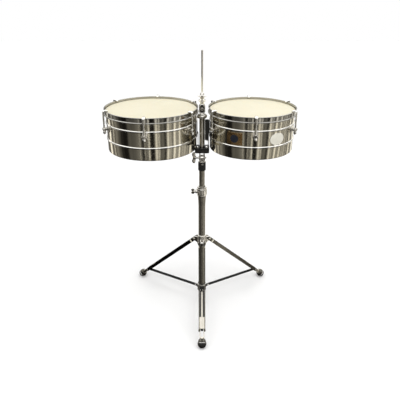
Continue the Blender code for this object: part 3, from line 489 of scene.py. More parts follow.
def build_hook(side, k):
    """A threaded rod whose top curls in over the rim and down behind it."""
    place, out, drum = hook_frame(side, k)
    node = f"tuning_hook_{side}_{k}"
    low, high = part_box(node)
    top = high.z - drum.rim_high - HOOK_RADIUS
    foot = low.z - drum.rim_high
    reach = drum.radius + RIM_INSIDE - HOOK_RADIUS - out - HOOK_CLEAR
    rod = (HOOK_RADIUS, HOOK_RADIUS)
    path = [(0, foot + HOOK_RADIUS), (0, -0.05), (0, -0.028), (0, -0.02), (0, -0.012)]
    sizes = [rod, rod, rod, (0.0048, 0.0034), (0.006, 0.003)]
    over = arc((-HOOK_TURN, top - HOOK_TURN), HOOK_TURN, 0, 90, 6)
    over += arc((reach + HOOK_TURN, top - HOOK_TURN), HOOK_TURN, 90, 180, 6)
    over.append((reach, -HEAD_DROP + 2 * HOOK_RADIUS))
    work = bmesh.new()
    add_bar(work, path + over, sizes + [CLAW] * len(over), 18, place)
    nut_low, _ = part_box(f"tuning_nut_{side}_{k}")
    crest = [(HOOK_RADIUS, -0.0005), (HOOK_RADIUS + THREAD_PROUD, 0), (HOOK_RADIUS, 0.0005)]
    for ring in range(THREADS):
        height = foot + HOOK_RADIUS + ring * THREAD_PITCH
        if height < nut_low.z - drum.rim_high - 0.0008:
            add_lathe(work, crest, 14, place @ at(0, 0, height))
    fine_piece(work, node, "drums", 50)


def build_nut(side, k):
    place, _, drum = hook_frame(side, k)
    node = f"tuning_nut_{side}_{k}"
    low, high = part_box(node)
    base = place @ at(0, 0, low.z - drum.rim_high)
    tall = high.z - low.z
    bore = HOOK_RADIUS + 0.0002
    collar = NUT_ACROSS * 0.95
    waist = tall * 0.72
    work = turned([(bore, waist), (collar, waist), (collar, tall), (bore, tall)], 28, base)
    hexagon = [(bore, 0), (NUT_ACROSS * 0.8, 0), (NUT_ACROSS, tall * 0.14), (NUT_ACROSS, tall * 0.62),
               (NUT_ACROSS * 0.86, waist), (bore, waist)]
    add_lathe(work, hexagon, 6, base)
    fine_piece(work, node, f"nut_{side}_{k}", 25)


def build_lug(side, k):
    """A cast lug: a plate on the shell, a rounded shelf that the hook passes through."""
    place, out, drum = hook_frame(side, k)
    _, nut_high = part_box(f"tuning_nut_{side}_{k}")
    shelf_low = nut_high.z - drum.rim_high + 0.0003
    root = drum.radius - out
    end = NUT_ACROSS + 0.0005 - LUG_CORNER
    outline = [(root - 0.0004, -LUG_HALF)] + arc((end, LUG_CORNER - LUG_HALF), LUG_CORNER, -90, 0, 5)
    outline += arc((end, LUG_HALF - LUG_CORNER), LUG_CORNER, 0, 90, 5) + [(root - 0.0004, LUG_HALF)]
    level = place @ at(0, 0, shelf_low) @ spin(-90, "X")
    work = bmesh.new()
    add_prism(work, outline, -LUG_HEIGHT, 0.0, level, 0.002)
    add_box(work, (root - 0.0008, -0.0105, shelf_low - 0.0105),
            (root + 0.003, 0.0105, shelf_low + 0.011), place, 0.0014)
    bore = HOOK_RADIUS + 0.0003
    add_lathe(work, [(bore, 0), (0.005, 0), (0.0046, 0.0016), (bore, 0.0018)], 24,
              place @ at(0, 0, shelf_low + LUG_HEIGHT))
    extra_piece(f"{side}_lug_{k}", work, "drums", "cast_chrome")


WEB_TOP = 0.052  # below the rim's top
WEB_BOTTOM = 0.142
WEB_FALL = 0.006  # how much lower the web ends at the bracket
WEB_THICK = 0.003
WEB_EDGE = 0.0013


def build_web():
    """Dark web between the post and the right bracket, with a bright rolled edge."""
    low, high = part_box("right_shell_bracket")
    _, rim_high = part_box("right_rim")
    post = (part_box("center_post")[1].x - MAST_X) + 0.0006
    far = high.x - MAST_X - 0.0034
    top, bottom = rim_high.z - WEB_TOP, rim_high.z - WEB_BOTTOM
    face = low.y + (high.y - low.y) / 2 - 0.015
    base = at(MAST_X, 0, 0)
    work = bmesh.new()
    outline = [(post, top), (far, top), (far, bottom - WEB_FALL), (post, bottom)]
    add_prism(work, outline, face, face + WEB_THICK, base, 0.0006)
    extra_piece("right_bracket_web", work, "drums", "dark_casting")
    edge = bmesh.new()
    line = ((post + 0.001, top), (post + 0.001, bottom), (far, bottom - WEB_FALL))
    corners = [Vector((x, face, z)) for x, z in line]
    for start, end in zip(corners, corners[1:]):
        add_rod(edge, start, end, WEB_EDGE, base)
    extra_piece("right_web_edge", edge, "drums", "bright_chrome")


def build_bolt(side):
    """A hexagon head on a washer."""
    node = side + "_mount_bolt"
    low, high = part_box(node)
    middle = centre_of(node)
    tall = high.z - low.z
    place = at(middle.x, middle.y, low.z)
    work = turned([(0, 0), (0.0052, 0), (0.0052, 0.001), (0.0048, 0.0012), (0, 0.0012)], 28, place)
    add_lathe(work, [(0, 0.0012), (0.0048, 0.0012), (0.0048, tall * 0.8), (0.0038, tall), (0, tall)], 6,
              place)
    fine_piece(work, node, "drums", 25)


# ---- yoke, post, rod ----
BOSS_X = 0.0185  # bosses on the block's front, either side of the post
POST_BORE = 0.0118
HOLDER_HALF_X = 0.013
HOLDER_HALF_Y = 0.01
HOLDER_TALL = 0.043
HOLDER_RIB = 0.003  # border rib's middle inside the casting's edge
RIB_RADIUS = 0.002
ROD_BORE = 0.0043
ROD_BORE_COLLAR = 0.0046
NECK = 0.0086
FLANGE = (0.0515, 0.059)  # flange's faces above the holder's foot
FLANGE_RADIUS = 0.014


def build_block():
    low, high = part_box("yoke_block")
    work = bmesh.new()
    add_box(work, low, high, bevel=0.0025, segments=4)
    for x in (-BOSS_X, BOSS_X):
        boss = at(MAST_X + x, low.y + 0.0004, (low.z + high.z) / 2) @ Z_TO_MINUS_Y
        add_lathe(work, [(0, 0), (0.0046, 0), (0.0046, 0.0012), (0.0038, 0.0018), (0, 0.0018)], 24, boss)
    fine_piece(work, "yoke_block", "drums")


def build_tube(node, body, wall=0.0015, lip=0.0006, material=None):
    low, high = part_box(node)
    radius = (high.x - low.x) / 2
    tall = high.z - low.z
    middle = centre_of(node)
    profile = [(radius - lip, 0), (radius, lip), (radius, tall - lip), (radius - lip, tall),
               (radius - wall, tall), (radius - wall, 0)]
    place = at(middle.x, middle.y, low.z)
    fine_piece(turned(profile, 64, place), node, body, material=material)


def build_post_collar():
    """A collar with a broad round shoulder over the post's end."""
    low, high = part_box("post_collar")
    radius = (high.x - low.x) / 2
    tall = high.z - low.z
    profile = [(POST_BORE, 0), (radius * 0.82, 0), (radius * 0.88, tall * 0.06), (radius * 0.9, tall * 0.14)]
    profile += arc((radius - 0.006, tall * 0.46), 0.006, -60, 75, 10)
    profile += [(radius * 0.72, tall * 0.83), (radius * 0.72, tall * 0.9), (radius * 0.66, tall),
                (ROD_BORE_COLLAR, tall), (ROD_BORE_COLLAR, tall * 0.84), (POST_BORE, tall * 0.82)]
    fine_piece(turned(profile, 64, on_mast(low.z)), "post_collar", "drums")


def oval(half, lower, upper):
    """An upright oval: two half circles about a lower and an upper point."""
    return arc((0, upper), half, 0, 180, 20) + arc((0, lower), half, 180, 360, 20)


def build_holder():
    """Oval casting with a raised border and a nut, then neck, flange and clamp neck."""
    low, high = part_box("rod_holder")
    work = bmesh.new()
    base = on_mast(low.z)
    lower, upper = HOLDER_HALF_X, HOLDER_TALL - HOLDER_HALF_X
    shy = HOLDER_HALF_Y - 0.0012
    add_prism(work, oval(HOLDER_HALF_X, lower, upper), -shy, shy, base, 0.003, 4)
    ribs = oval(HOLDER_HALF_X - HOLDER_RIB, lower, upper)
    for y in (-HOLDER_HALF_Y + 0.0018, HOLDER_HALF_Y - 0.0018):
        for a, b in zip(ribs, ribs[1:] + ribs[:1]):
            add_rod(work, Vector((a[0], y, a[1])), Vector((b[0], y, b[1])), RIB_RADIUS, base)
    front = base @ at(0, -HOLDER_HALF_Y + 0.0008, (lower + upper) / 2) @ Z_TO_MINUS_Y
    add_lathe(work, [(0, 0), (0.0066, 0), (0.0066, 0.001), (0, 0.001)], 32, front)
    add_lathe(work, [(0, 0.001), (0.0055, 0.001), (0.0055, 0.0036), (0.0044, 0.0046), (0, 0.0046)], 6, front)
    tall = high.z - low.z
    foot, face = FLANGE
    stem = [(ROD_BORE, upper), (NECK, upper), (NECK, foot - 0.002), (FLANGE_RADIUS, foot)]
    stem += arc((FLANGE_RADIUS, (foot + face) / 2), (face - foot) / 2 * 0.42, -90, 90, 6)
    stem += [(FLANGE_RADIUS, face), (NECK + 0.0012, face + 0.0004), (NECK, face + 0.002),
             (NECK, tall - 0.0035), (NECK - 0.0012, tall - 0.001), (NECK - 0.0024, tall), (ROD_BORE, tall)]
    add_lathe(work, stem, 48, base)
    screw = joint_place("rod_screw_turn")
    boss = at(screw.x, MAST_Y, screw.z) @ Z_TO_MINUS_Y
    add_lathe(work, [(0.0034, 0.006), (0.0058, 0.006), (0.0058, 0.0112), (0.005, 0.012), (0.0034, 0.012)],
              28, boss)
    fine_piece(work, "rod_holder", "drums")
    inset = oval(HOLDER_HALF_X - 2 * HOLDER_RIB + 0.0008, lower, upper)
    for name, y in (("front", -HOLDER_HALF_Y + 0.0009), ("back", HOLDER_HALF_Y - 0.0015)):
        work = bmesh.new()
        add_prism(work, inset, y, y + 0.0006, base)
        extra_piece("holder_recess_" + name, work, "drums", "dark_casting")


def build_rod():
    low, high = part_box("bell_rod")
    radius = (high.x - low.x) / 2
    tall = high.z - low.z
    profile = [(0, 0), (radius * 0.8, 0), (radius, radius * 0.3), (radius, tall - 0.0008),
               (radius - 0.0008, tall), (0, tall)]
    fine_piece(turned(profile, 32, on_mast(low.z)), "bell_rod", "bell_rod")


# ---- tilter and clamps ----
EAR = (0.0063, 0.0123)  # inner and outer face of a clevis ear
SCREW_BORE = 0.0044  # round the tilt and height screws' stems
TILT_WASHER = (0.0098, 0.0138)  # radius and outer face
TONGUE_HALF = 0.006
MAST_BORE = 0.013
CLAMP_RADIUS = 0.0235
CLAMP_WAIST = CLAMP_RADIUS - 0.0036
BASE_BORE = 0.0162
BASE_RADIUS = 0.0159
BASE_WALL = 0.0015
FLARE_LENGTH = 0.048


def build_clevis():
    """Plate and two ears that hang from the yoke block to the tilt axis."""
    low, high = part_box("tilter_clevis")
    axis = joint_place("drum_tilt")
    work = bmesh.new()
    add_box(work, (low.x, low.y, high.z - 0.004), high, bevel=0.0012)
    radius = axis.z - low.z
    top = high.z - 0.003 - axis.z
    outline = [(radius, top), (-radius, top)] + arc((0, 0), radius, 180, 360, 24)
    turn = Matrix.Translation(axis) @ spin(90, "Z")
    inner, outer = EAR
    for near, far in ((inner, outer), (-outer, -inner)):
        add_prism(work, outline, near, far, turn, 0.0011)
    wide, face = TILT_WASHER
    for near, far in ((outer, face), (-face, -outer)):
        ring = [(SCREW_BORE, near), (wide, near), (wide, far), (SCREW_BORE, far)]
        add_lathe(work, ring, 36, Matrix.Translation(axis) @ X_TO_Z)
    fine_piece(work, "tilter_clevis", "drums")


def build_tongue():
    """A disc on the socket with the tongue that stands between the ears."""
    low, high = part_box("tilter_base")
    axis = joint_place("drum_tilt")
    radius = (high.x - low.x) / 2
    disc = [(0, 0), (radius - 0.0006, 0), (radius, 0.0006), (radius, 0.0019), (radius - 0.0006, 0.0025),
            (0, 0.0025)]
    work = turned(disc, 48, on_mast(low.z))
    ear = high.z - axis.z
    floor = low.z + 0.0015 - axis.z
    outline = [(-ear, floor), (ear, floor)] + arc((0, 0), ear, 0, 180, 24)
    turn = Matrix.Translation(axis) @ spin(90, "Z")
    add_prism(work, outline, -TONGUE_HALF, TONGUE_HALF, turn, 0.0008)
    fine_piece(work, "tilter_base", "tilter")


def build_socket():
    """Dark sleeve on the mast's top, with a grooved line and a set screw."""
    low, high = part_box("swivel_socket")
    radius = (high.x - low.x) / 2
    tall = high.z - low.z
    groove = tall * 0.56
    profile = [(radius * 0.9, 0), (radius * 0.97, 0.0012), (radius, 0.003), (radius, groove - 0.0008),
               (radius - 0.0009, groove), (radius, groove + 0.0008), (radius, tall - 0.0008),
               (radius - 0.0008, tall), (0, tall), (0, tall - 0.006), (MAST_BORE, tall - 0.006),
               (MAST_BORE, 0)]
    fine_piece(turned(profile, 56, on_mast(low.z)), "swivel_socket", "tilter")
    head = at(MAST_X + 0.0008, MAST_Y, low.z + tall * 0.76) @ Z_TO_MINUS_Y
    slot = radius + 0.0008
    screw = [(0, radius - 0.0015), (0.0046, radius - 0.0015), (0.0046, radius + 0.001),
             (0.0034, radius + 0.002), (0.0014, radius + 0.002), (0.0014, slot), (0, slot)]
    extra_piece("socket_screw", turned(screw, 24, head), "tilter", "bright_chrome")


def build_height_clamp():
    """Cast clamp on the base tube's mouth: two collars, a waist, a boss and two lugs."""
    low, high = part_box("height_clamp")
    screw = joint_place("height_screw_turn")
    tall = high.z - low.z
    radius, waist = CLAMP_RADIUS, CLAMP_WAIST
    profile = [(BASE_BORE, 0), (waist - 0.0006, 0), (waist, 0.0008), (waist + 0.0004, tall * 0.14)]
    profile += arc((radius - 0.004, tall * 0.3), 0.004, -80, 0, 5)
    profile += [(radius - 0.0006, tall * 0.5)] + arc((radius - 0.0028, tall * 0.78), 0.0028, 0, 80, 5)
    profile += [(waist + 0.0004, tall * 0.9), (waist + 0.0016, tall * 0.94), (waist + 0.0016, tall - 0.0008),
                (waist + 0.0008, tall), (BASE_BORE, tall)]
    work = turned(profile, 64, on_mast(low.z))
    boss = [(SCREW_BORE, -0.03), (0.0088, -0.03), (0.0095, -0.0292), (0.0095, -0.018), (SCREW_BORE, -0.018)]
    add_lathe(work, boss, 36, on_mast(screw.z) @ X_TO_Z)
    for angle in (-38, 32):
        lug = on_mast(low.z + tall * 0.42) @ spin(angle - 90, "Z")
        add_box(work, (radius - 0.004, -0.0045, -0.01), (radius + 0.002, 0.0045, 0.01), lug, 0.0014)
    fine_piece(work, "height_clamp", "base")


def build_base_tube():
    """Plated tube whose top is swaged out to a shoulder, and its plug."""
    low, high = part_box("base_tube")
    flare = (high.x - low.x) / 2
    clamp_low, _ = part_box("height_clamp")
    radius, inner = BASE_RADIUS, BASE_RADIUS - BASE_WALL
    shoulder = clamp_low.z - 0.0003 - low.z
    start = shoulder - FLARE_LENGTH
    tall = high.z - low.z
    profile = [(inner, 0), (radius - 0.0006, 0), (radius, 0.0006), (radius, start)]
    for k in range(1, 7):
        t = k / 6
        swell = (flare - radius) * (t * t * (3 - 2 * t))
        profile.append((radius + swell, start + 0.045 * t))
    profile += [(flare, shoulder - 0.0006), (flare - 0.0006, shoulder), (radius, shoulder), (radius, tall),
                (inner, tall)]
    place = on_mast(low.z)
    fine_piece(turned(profile, 64, place), "base_tube", "base")
    plug = radius - 0.0018
    outline = [(0, -0.001), (plug - 0.0007, -0.001), (plug, 0), (plug, 0.012), (0, 0.012)]
    extra_piece("tube_plug", turned(outline, 48, place), "base", "nylon")


WING_HUB = 0.0075
WING_HUB_PROFILE = [(0, -0.015), (0.0042, -0.015), (0.0056, -0.0142), (0.0064, -0.0115), (0.0066, -0.008),
                    (WING_HUB, -0.0035), (WING_HUB, -0.0006), (WING_HUB - 0.0006, 0)]
WING_ROOT = 0.003  # where the wings start, from the screw's axis
WING_TIP = 0.8  # share of a wing's length where its tip starts to close


def wing_section(t, root, span, sign):
    """One ring of points across a wing, t of the way to its tip."""
    reach = root + (span / 2 - root) * t
    back = -0.0085 - 0.0025 * sin(pi * t * 0.9)
    deep = 0.0058 + 0.0022 * sin(pi * min(t * 1.25, 1.0) ** 1.5)
    thick = 0.0036 - 0.0008 * t
    if t > WING_TIP:
        close = sqrt(max(1 - ((t - WING_TIP) / 0.2) ** 2, 0.02))
        deep, thick = deep * close, thick * close
    ring = []
    for s in range(18):
        a = 2 * pi * s / 18
        ring.append((back + deep * cos(a), thick * sin(a), sign * reach))
    return ring


def build_wing_screw(node, joint, body, span, stem, stem_length, roll):
    """A cast wing screw: waisted hub, two swept wings with fat rounded tips, and its stem."""
    axis = Vector(JOINTS[joint]["axis"])
    turn = spin(90, "Z") if abs(axis.y) > 0.5 else Matrix.Identity(4)
    place = Matrix.Translation(joint_place(joint)) @ turn @ spin(roll, "X")
    hub = WING_HUB_PROFILE + [(stem, 0), (stem, stem_length - 0.001), (stem - 0.001, stem_length),
                              (0, stem_length)]
    work = turned(hub, 36, place @ X_TO_Z)
    for sign in (1, -1):
        add_loft(work, [wing_section(k / 12, WING_ROOT, span, sign) for k in range(13)], place)
    fine_piece(work, node, body, 45)


# ---- tripod ----
FOOT_RADIUS = 0.019
FOOT_CENTRE = 0.0178  # above the floor
LEG_HEIGHT = 0.016
LEG_STRIP = 0.0038
LEG_TOP_HALF = 0.016
LEG_END_HALF = 0.0145
LEG_TO_FOOT = 0.022
LEG_BACK = 0.0085
LEG_SHOULDER = 0.403
LEG_BLOCK = 0.006
NECK_HALF = 0.0105
CHANNEL_START = 0.225
CHANNEL = (0.0046, 0.006)  # channel plate's faces above the leg's middle
RIB = (0.0058, 0.008)
RIB_HALF = 0.004
SADDLE_LENGTH = 0.064
BAND = (0.017, 0.027)  # cream band along the leg
BRACE_ON_LEG = 0.396
BRACE_HEIGHT = 0.0078
BRACE_HALF = 0.005
BRACE_STRIP = 0.0022


def strip_outline(start, end, height):
    """A strip seen from its side: straight edges and round ends."""
    half = height / 2
    return arc((start + half, 0), half, 90, 270, 10) + arc((end - half, 0), half, -90, 90, 10)


def rivet(work, place, half, radius, dome):
    """A rivet across Y with a domed head on each side."""
    for sign in (1, -1):
        lay = spin(-90 * sign, "X")
        head = place @ at(0, sign * half, 0) @ lay
        profile = [(0, -0.0008), (radius, -0.0008)]
        for a in (0, 25, 50, 70):
            profile.append((radius * cos(radians(a)), dome * sin(radians(a))))
        profile.append((0, dome))
        add_lathe(work, profile, 28, head)


def leg_frame(side):
    """Local X runs down the leg from its pivot; also the leg's length and its way out."""
    pivot = joint_place("legs_fold" if side == "front" else f"leg_{side}_fold")
    foot = centre_of("foot_" + side)
    out = Vector((pivot.x - MAST_X, pivot.y - MAST_Y, 0)).normalized()
    target = pivot + out * Vector((foot.x - pivot.x, foot.y - pivot.y, 0)).dot(out)
    target.z = FOOT_CENTRE
    along = target - pivot
    return along_frame(pivot, along, UP.cross(out)), along.length, out


def both_sides(inner, outer):
    """The two Y spans between an inner and an outer distance, nearer the +Y side first."""
    return (inner, outer), (-outer, -inner)


def build_leg(side):
    """Two plated strips on edge with short tongues where they step in."""
    place, length, _ = leg_frame(side)
    fork_end = length - LEG_TO_FOOT
    work = bmesh.new()
    lean = atan2(LEG_TOP_HALF - LEG_END_HALF, fork_end + LEG_BACK)
    outline = strip_outline(-LEG_BACK, LEG_SHOULDER, LEG_HEIGHT)
    spans = both_sides(NECK_HALF - LEG_STRIP, NECK_HALF + 0.0008)
    for sign, (near, far) in zip((1, -1), spans):
        middle = at(0, sign * (LEG_TOP_HALF - LEG_STRIP / 2), 0)
        skew = place @ middle @ Matrix.Rotation(-sign * lean, 4, "Z")
        add_prism(work, outline, -LEG_STRIP / 2, LEG_STRIP / 2, skew, 0.0009)
        add_box(work, (LEG_SHOULDER - 0.016, near, -0.006), (LEG_SHOULDER - 0.001, far, 0.006), place, 0.001)
    fine_piece(work, "leg_" + side, "leg_" + side, material=LEG_CHROME)
    build_leg_end(side, place, length, fork_end)


def build_leg_end(side, place, length, fork_end):
    """Saddle and rib between the strips, prongs, block, rivets and stem; channel and band."""
    work = bmesh.new()
    body = "leg_" + side
    inner = LEG_END_HALF - LEG_STRIP + 0.0004
    start, stop, top = LEG_SHOULDER - SADDLE_LENGTH, LEG_SHOULDER - 0.01, LEG_HEIGHT / 2 + 0.0004
    saddle = [(start, top - 0.0022), (start + 0.0015, top), (stop - 0.003, top), (stop, top - 0.0022)]
    add_prism(work, saddle, -inner, inner, place, 0.0005)
    add_box(work, (CHANNEL_START + 0.004, -RIB_HALF, RIB[0]), (start + 0.002, RIB_HALF, RIB[1]), place, 0.001)
    channel = bmesh.new()
    add_box(channel, (CHANNEL_START, -inner, CHANNEL[0]), (LEG_SHOULDER - 0.018, inner, CHANNEL[1]), place,
            0.0005)
    extra_piece(body + "_channel", channel, body, "dark_casting")
    for near, far in both_sides(NECK_HALF - LEG_STRIP, NECK_HALF):
        add_box(work, (LEG_SHOULDER - 0.004, near, -0.0062), (fork_end, far, 0.0062), place, 0.0016)
    block_half = NECK_HALF - 0.001
    add_box(work, (fork_end - LEG_BLOCK, -block_half, -0.006), (fork_end, block_half, 0.006), place, 0.001)
    rivet(work, place, LEG_TOP_HALF, 0.0072, 0.0034)
    rivet(work, place @ at(BRACE_ON_LEG, 0, 0), LEG_END_HALF, 0.0044, 0.0016)
    band = bmesh.new()
    tall = LEG_HEIGHT / 2 + 0.0005
    for near, far in both_sides(LEG_TOP_HALF - LEG_STRIP - 0.0003, LEG_TOP_HALF + 0.0004):
        add_box(band, (BAND[0], near, -tall), (BAND[1], far, tall), place, 0.001)
    extra_piece(body + "_band", band, body, "nylon", CREAM)
    neck = [(0, fork_end - 0.003), (0.0098, fork_end - 0.003), (0.0098, fork_end + 0.001),
            (0.0082, fork_end + 0.0025), (0.007, fork_end + 0.0045), (0.007, length), (0, length)]
    add_lathe(work, neck, 36, place @ X_TO_Z)
    extra_piece(body + "_end", work, body, "cast_chrome", PLATE_CHROME)


def build_foot(side):
    """Rubber ball with a flat tread, a plated cap above it and a bright ring round it."""
    place, length, _ = leg_frame(side)
    body = "leg_" + side
    ball = [(0, -FOOT_CENTRE), (0.006, -FOOT_CENTRE)] + arc((0, 0), FOOT_RADIUS, -66, 70, 20)
    ball.append((0, FOOT_RADIUS * 0.9))
    centre = Matrix.Translation(place @ Vector((length, 0, 0)))
    cap = [(0, length - 0.02), (0.0118, length - 0.02), (0.014, length - 0.0188), (0.0152, length - 0.016),
           (0.0184, length - 0.004), (0.0184, length), (0, length)]
    fine_piece(turned(ball, 56, centre), "foot_" + side, body, 40)
    along = place @ X_TO_Z
    extra_piece(f"foot_{side}_cap", turned(cap, 56, along), body, "tube_chrome", LEG_CHROME)
    ring = turned(arc((FOOT_RADIUS - 0.0006, length - 0.0025), 0.0013, 0, 330, 11), 64, along)
    extra_piece("foot_ring_" + side, ring, body, "bright_chrome")


def build_brace(side):
    """Two thin strips on edge joined at their outer end, with a rivet at the hub."""
    body = "brace_" + side
    hub = joint_place(body + "_fold")
    place, _, out = leg_frame(side)
    along = place @ Vector((BRACE_ON_LEG, 0, 0)) - hub
    base = along_frame(hub, along, UP.cross(out))
    half = BRACE_HEIGHT / 2
    work = bmesh.new()
    outline = strip_outline(-half, along.length + half, BRACE_HEIGHT)
    inner = BRACE_HALF - BRACE_STRIP / 2
    for sign in (1, -1):
        shift = base @ at(0, sign * inner, 0)
        add_prism(work, outline, -BRACE_STRIP / 2, BRACE_STRIP / 2, shift, 0.0007)
    barrel = base @ at(along.length, 0, 0) @ Z_TO_MINUS_Y
    add_lathe(work, [(0, -inner), (half, -inner), (half, inner), (0, inner)], 28, barrel)
    fine_piece(work, body, body)
    heads = bmesh.new()
    rivet(heads, base, BRACE_HALF, 0.0046, 0.0018)
    extra_piece(body + "_rivet", heads, body, "bright_chrome")


def build_lugged_ring(node, body, profile, joints, lug):
    """A turned ring with one cast lug per leg; lug is half width, end, root, drop, rise, bevel."""
    half, end, root, drop, rise, bevel = lug
    work = turned(profile, 64, on_mast(0))
    for name in joints:
        pivot = joint_place(name)
        arm = Vector((pivot.x - MAST_X, pivot.y - MAST_Y, 0))
        out = arm.normalized()
        start = root - arm.length
        outline = [(start, -drop)] + arc((0, 0), end, -70, 70, 12) + [(start, rise)]
        add_prism(work, outline, -half, half, along_frame(pivot, out, UP.cross(out)), bevel)
    fine_piece(work, node, body)


COLLAR_RADIUS = 0.0215
COLLAR_LUG = (0.008, 0.0085, 0.0195, 0.024, 0.016, 0.003)
HUB_RADIUS = 0.021
HUB_BORE = 0.0163
HUB_LUG = (0.0024, 0.0039, 0.019, 0.0125, 0.0085, 0.0006)
HUB_STEP = 0.026  # top of the hub's wider part above its foot
HUB_RING = [(-0.0018, -0.0105), (-0.0003, -0.01), (0.0002, -0.0075), (0.0002, -0.0045), (-0.0003, -0.002),
            (-0.0018, -0.0015)]  # bright ring, from the hub's radius and top


def build_tripod():
    low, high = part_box("leg_collar")
    tall = high.z - low.z
    outer, waist = COLLAR_RADIUS, COLLAR_RADIUS - 0.0022
    profile = [(BASE_BORE, low.z), (outer - 0.003, low.z), (waist, low.z + 0.001),
               (waist, low.z + tall * 0.1),
               (outer, low.z + tall * 0.16), (outer, high.z - tall * 0.16), (waist, high.z - tall * 0.1),
               (waist, high.z - 0.001), (outer - 0.003, high.z), (BASE_BORE, high.z)]
    build_lugged_ring("leg_collar", "base", profile, ["legs_fold", "leg_left_fold", "leg_right_fold"],
                      COLLAR_LUG)
    low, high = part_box("brace_hub")
    outer, waist = HUB_RADIUS, HUB_RADIUS - 0.0016
    profile = [(HUB_BORE, low.z), (outer - 0.0012, low.z), (outer, low.z + 0.0012), (outer, low.z + HUB_STEP),
               (waist, low.z + HUB_STEP + 0.0015), (waist, high.z - 0.0012), (outer - 0.0026, high.z),
               (HUB_BORE, high.z)]
    build_lugged_ring("brace_hub", "hub", profile, [f"brace_{side}_fold" for side in LEGS], HUB_LUG)
    ring = [(outer + r, high.z + z) for r, z in HUB_RING]
    extra_piece("hub_ring", turned(ring, 64, on_mast(0)), "hub", "bright_chrome")
    for side in LEGS:
        build_leg(side)
        build_foot(side)
        build_brace(side)


# ---- plain badge and plate ----
BADGE = (-118.0, 0.083)  # bearing in degrees and height on the right shell
PLATE = (-60.5, 0.081)


def curved_plate(name, where, outline, lift, thick, material):
    """A thin plate wrapped on the right shell: outline gives distance round it and height."""
    drum = drum_facts("right")
    bearing, height = radians(where[0]), where[1]

    def on_shell(across, up, level):
        turn = bearing + across / drum.radius
        r = drum.radius + level
        return drum.centre + Vector((r * cos(turn), r * sin(turn), drum.bottom + height + up))

    work = bmesh.new()
    levels = (lift, lift + thick)
    rings = [[work.verts.new(on_shell(across, up, level)) for across, up in outline] for level in levels]
    middle = [work.verts.new(on_shell(0, 0, level)) for level in levels]
    count = len(outline)
    for k in range(count):
        n = (k + 1) % count
        work.faces.new([rings[0][k], rings[0][n], rings[1][n], rings[1][k]])
        work.faces.new([rings[0][k], rings[0][n], middle[0]])
        work.faces.new([rings[1][k], rings[1][n], middle[1]])
    new_piece(name, work, material, "drums", None)


def rounded_rectangle(half_x, half_z, radius, steps=6):
    """A rounded rectangle with points close enough together to wrap round a shell."""
    x, z = half_x - radius, half_z - radius
    points = []
    for quarter, (cx, cz) in enumerate(((x, z), (-x, z), (-x, -z), (x, -z))):
        points += arc((cx, cz), radius, 90 * quarter, 90 * quarter + 90, steps)
    dense = []
    for a, b in zip(points, points[1:] + points[:1]):
        cuts = max(1, int(dist(a, b) / 0.004))
        for k in range(cuts):
            dense.append((a[0] + (b[0] - a[0]) * k / cuts, a[1] + (b[1] - a[1]) * k / cuts))
    return dense


def ellipse(half_x, half_z, steps=40):
    return [(half_x * cos(2 * pi * k / steps), half_z * sin(2 * pi * k / steps))
            for k in range(steps)]


def build_badges():
    curved_plate("badge_plate", BADGE, rounded_rectangle(0.033, 0.0245, 0.004), 0.0002, 0.001, BRASS)
    curved_plate("badge_disc", BADGE, ellipse(0.0165, 0.0165), 0.0011, 0.0006, ENAMEL)
    curved_plate("oval_plate", PLATE, ellipse(0.0345, 0.0255, 48), 0.0002, 0.0007, MATERIALS["bright_chrome"])
    curved_plate("oval_plate_field", PLATE, ellipse(0.0325, 0.0235, 48), 0.0007, 0.0005, WHITE_ENAMEL)


# ---- everything ----
def repaint_rest():
    """Give each CAD node that stays its own finished material."""
    for node, slot_name in SLOT_OF.items():
        thing = frame["nodes"][node]
        thing.data.materials.clear()
        thing.data.materials.append(MATERIALS[slot_name])


def build_all():
    for side in SIDES:
        build_shell(side)
        build_head(side)
        build_rim(side)
        build_bolt(side)
        for k in range(1, LUGS + 1):
            build_hook(side, k)
            build_nut(side, k)
            build_lug(side, k)
    build_badges()
    build_web()
    build_block()
    build_tube("center_post", "drums", material=POST_CHROME)
    build_tube("upper_tube", "mast")
    build_post_collar()
    build_holder()
    build_rod()
    build_clevis()
    build_tongue()
    build_socket()
    build_height_clamp()
    build_base_tube()
    build_wing_screw("tilt_wing_screw", "tilt_screw_turn", "tilt_screw", 0.052, 0.004, 0.044, 0)
    build_wing_screw("height_wing_screw", "height_screw_turn", "height_screw", 0.044, 0.004, 0.014, 35)
    build_wing_screw("rod_wing_screw", "rod_screw_turn", "rod_screw", 0.036, 0.003, 0.008, 90)
    build_tripod()


# ---- floor, light and camera ----
CAMERA_BACK = 1.917  # in front of the post
CAMERA_ABOVE_RIM = 0.457
CAMERA_SIDE = -0.0087
CAMERA_PITCH = 24.87
LENS = 41.6


FLOOR_HALF = 12.0


def build_floor():
    mesh = bpy.data.meshes.new("floor")
    size = FLOOR_HALF
    mesh.from_pydata([(-size, -size, 0), (size, -size, 0), (size, size, 0), (-size, size, 0)], [],
                     [(0, 1, 2, 3)])
    floor = new_object("floor", mesh)
    material, tree, shader = node_material("pale_floor")
    colour = ramp_of(tree, noise_of(tree, 3.0), [(0.3, (0.93, 0.93, 0.93)), (0.7, (0.95, 0.95, 0.95))])
    tree.links.new(colour, shader.inputs["Base Color"])
    shader.inputs["Roughness"].default_value = 0.8
    shader.inputs["Specular IOR Level"].default_value = 0.0
    mesh.materials.append(material)
    floor.visible_glossy = False


def area_light(name, place, target, width, height, power):
    data = bpy.data.lights.new(name, "AREA")
    data.shape = "RECTANGLE"
    data.size = width
    data.size_y = height
    data.energy = power
    lamp = new_object(name, data)
    lamp.visible_glossy = False
    lamp.location = place
    lamp.rotation_euler = (Vector(target) - Vector(place)).to_track_quat("-Z", "Y").to_euler()


WARM = (1.0, 0.955, 0.86)
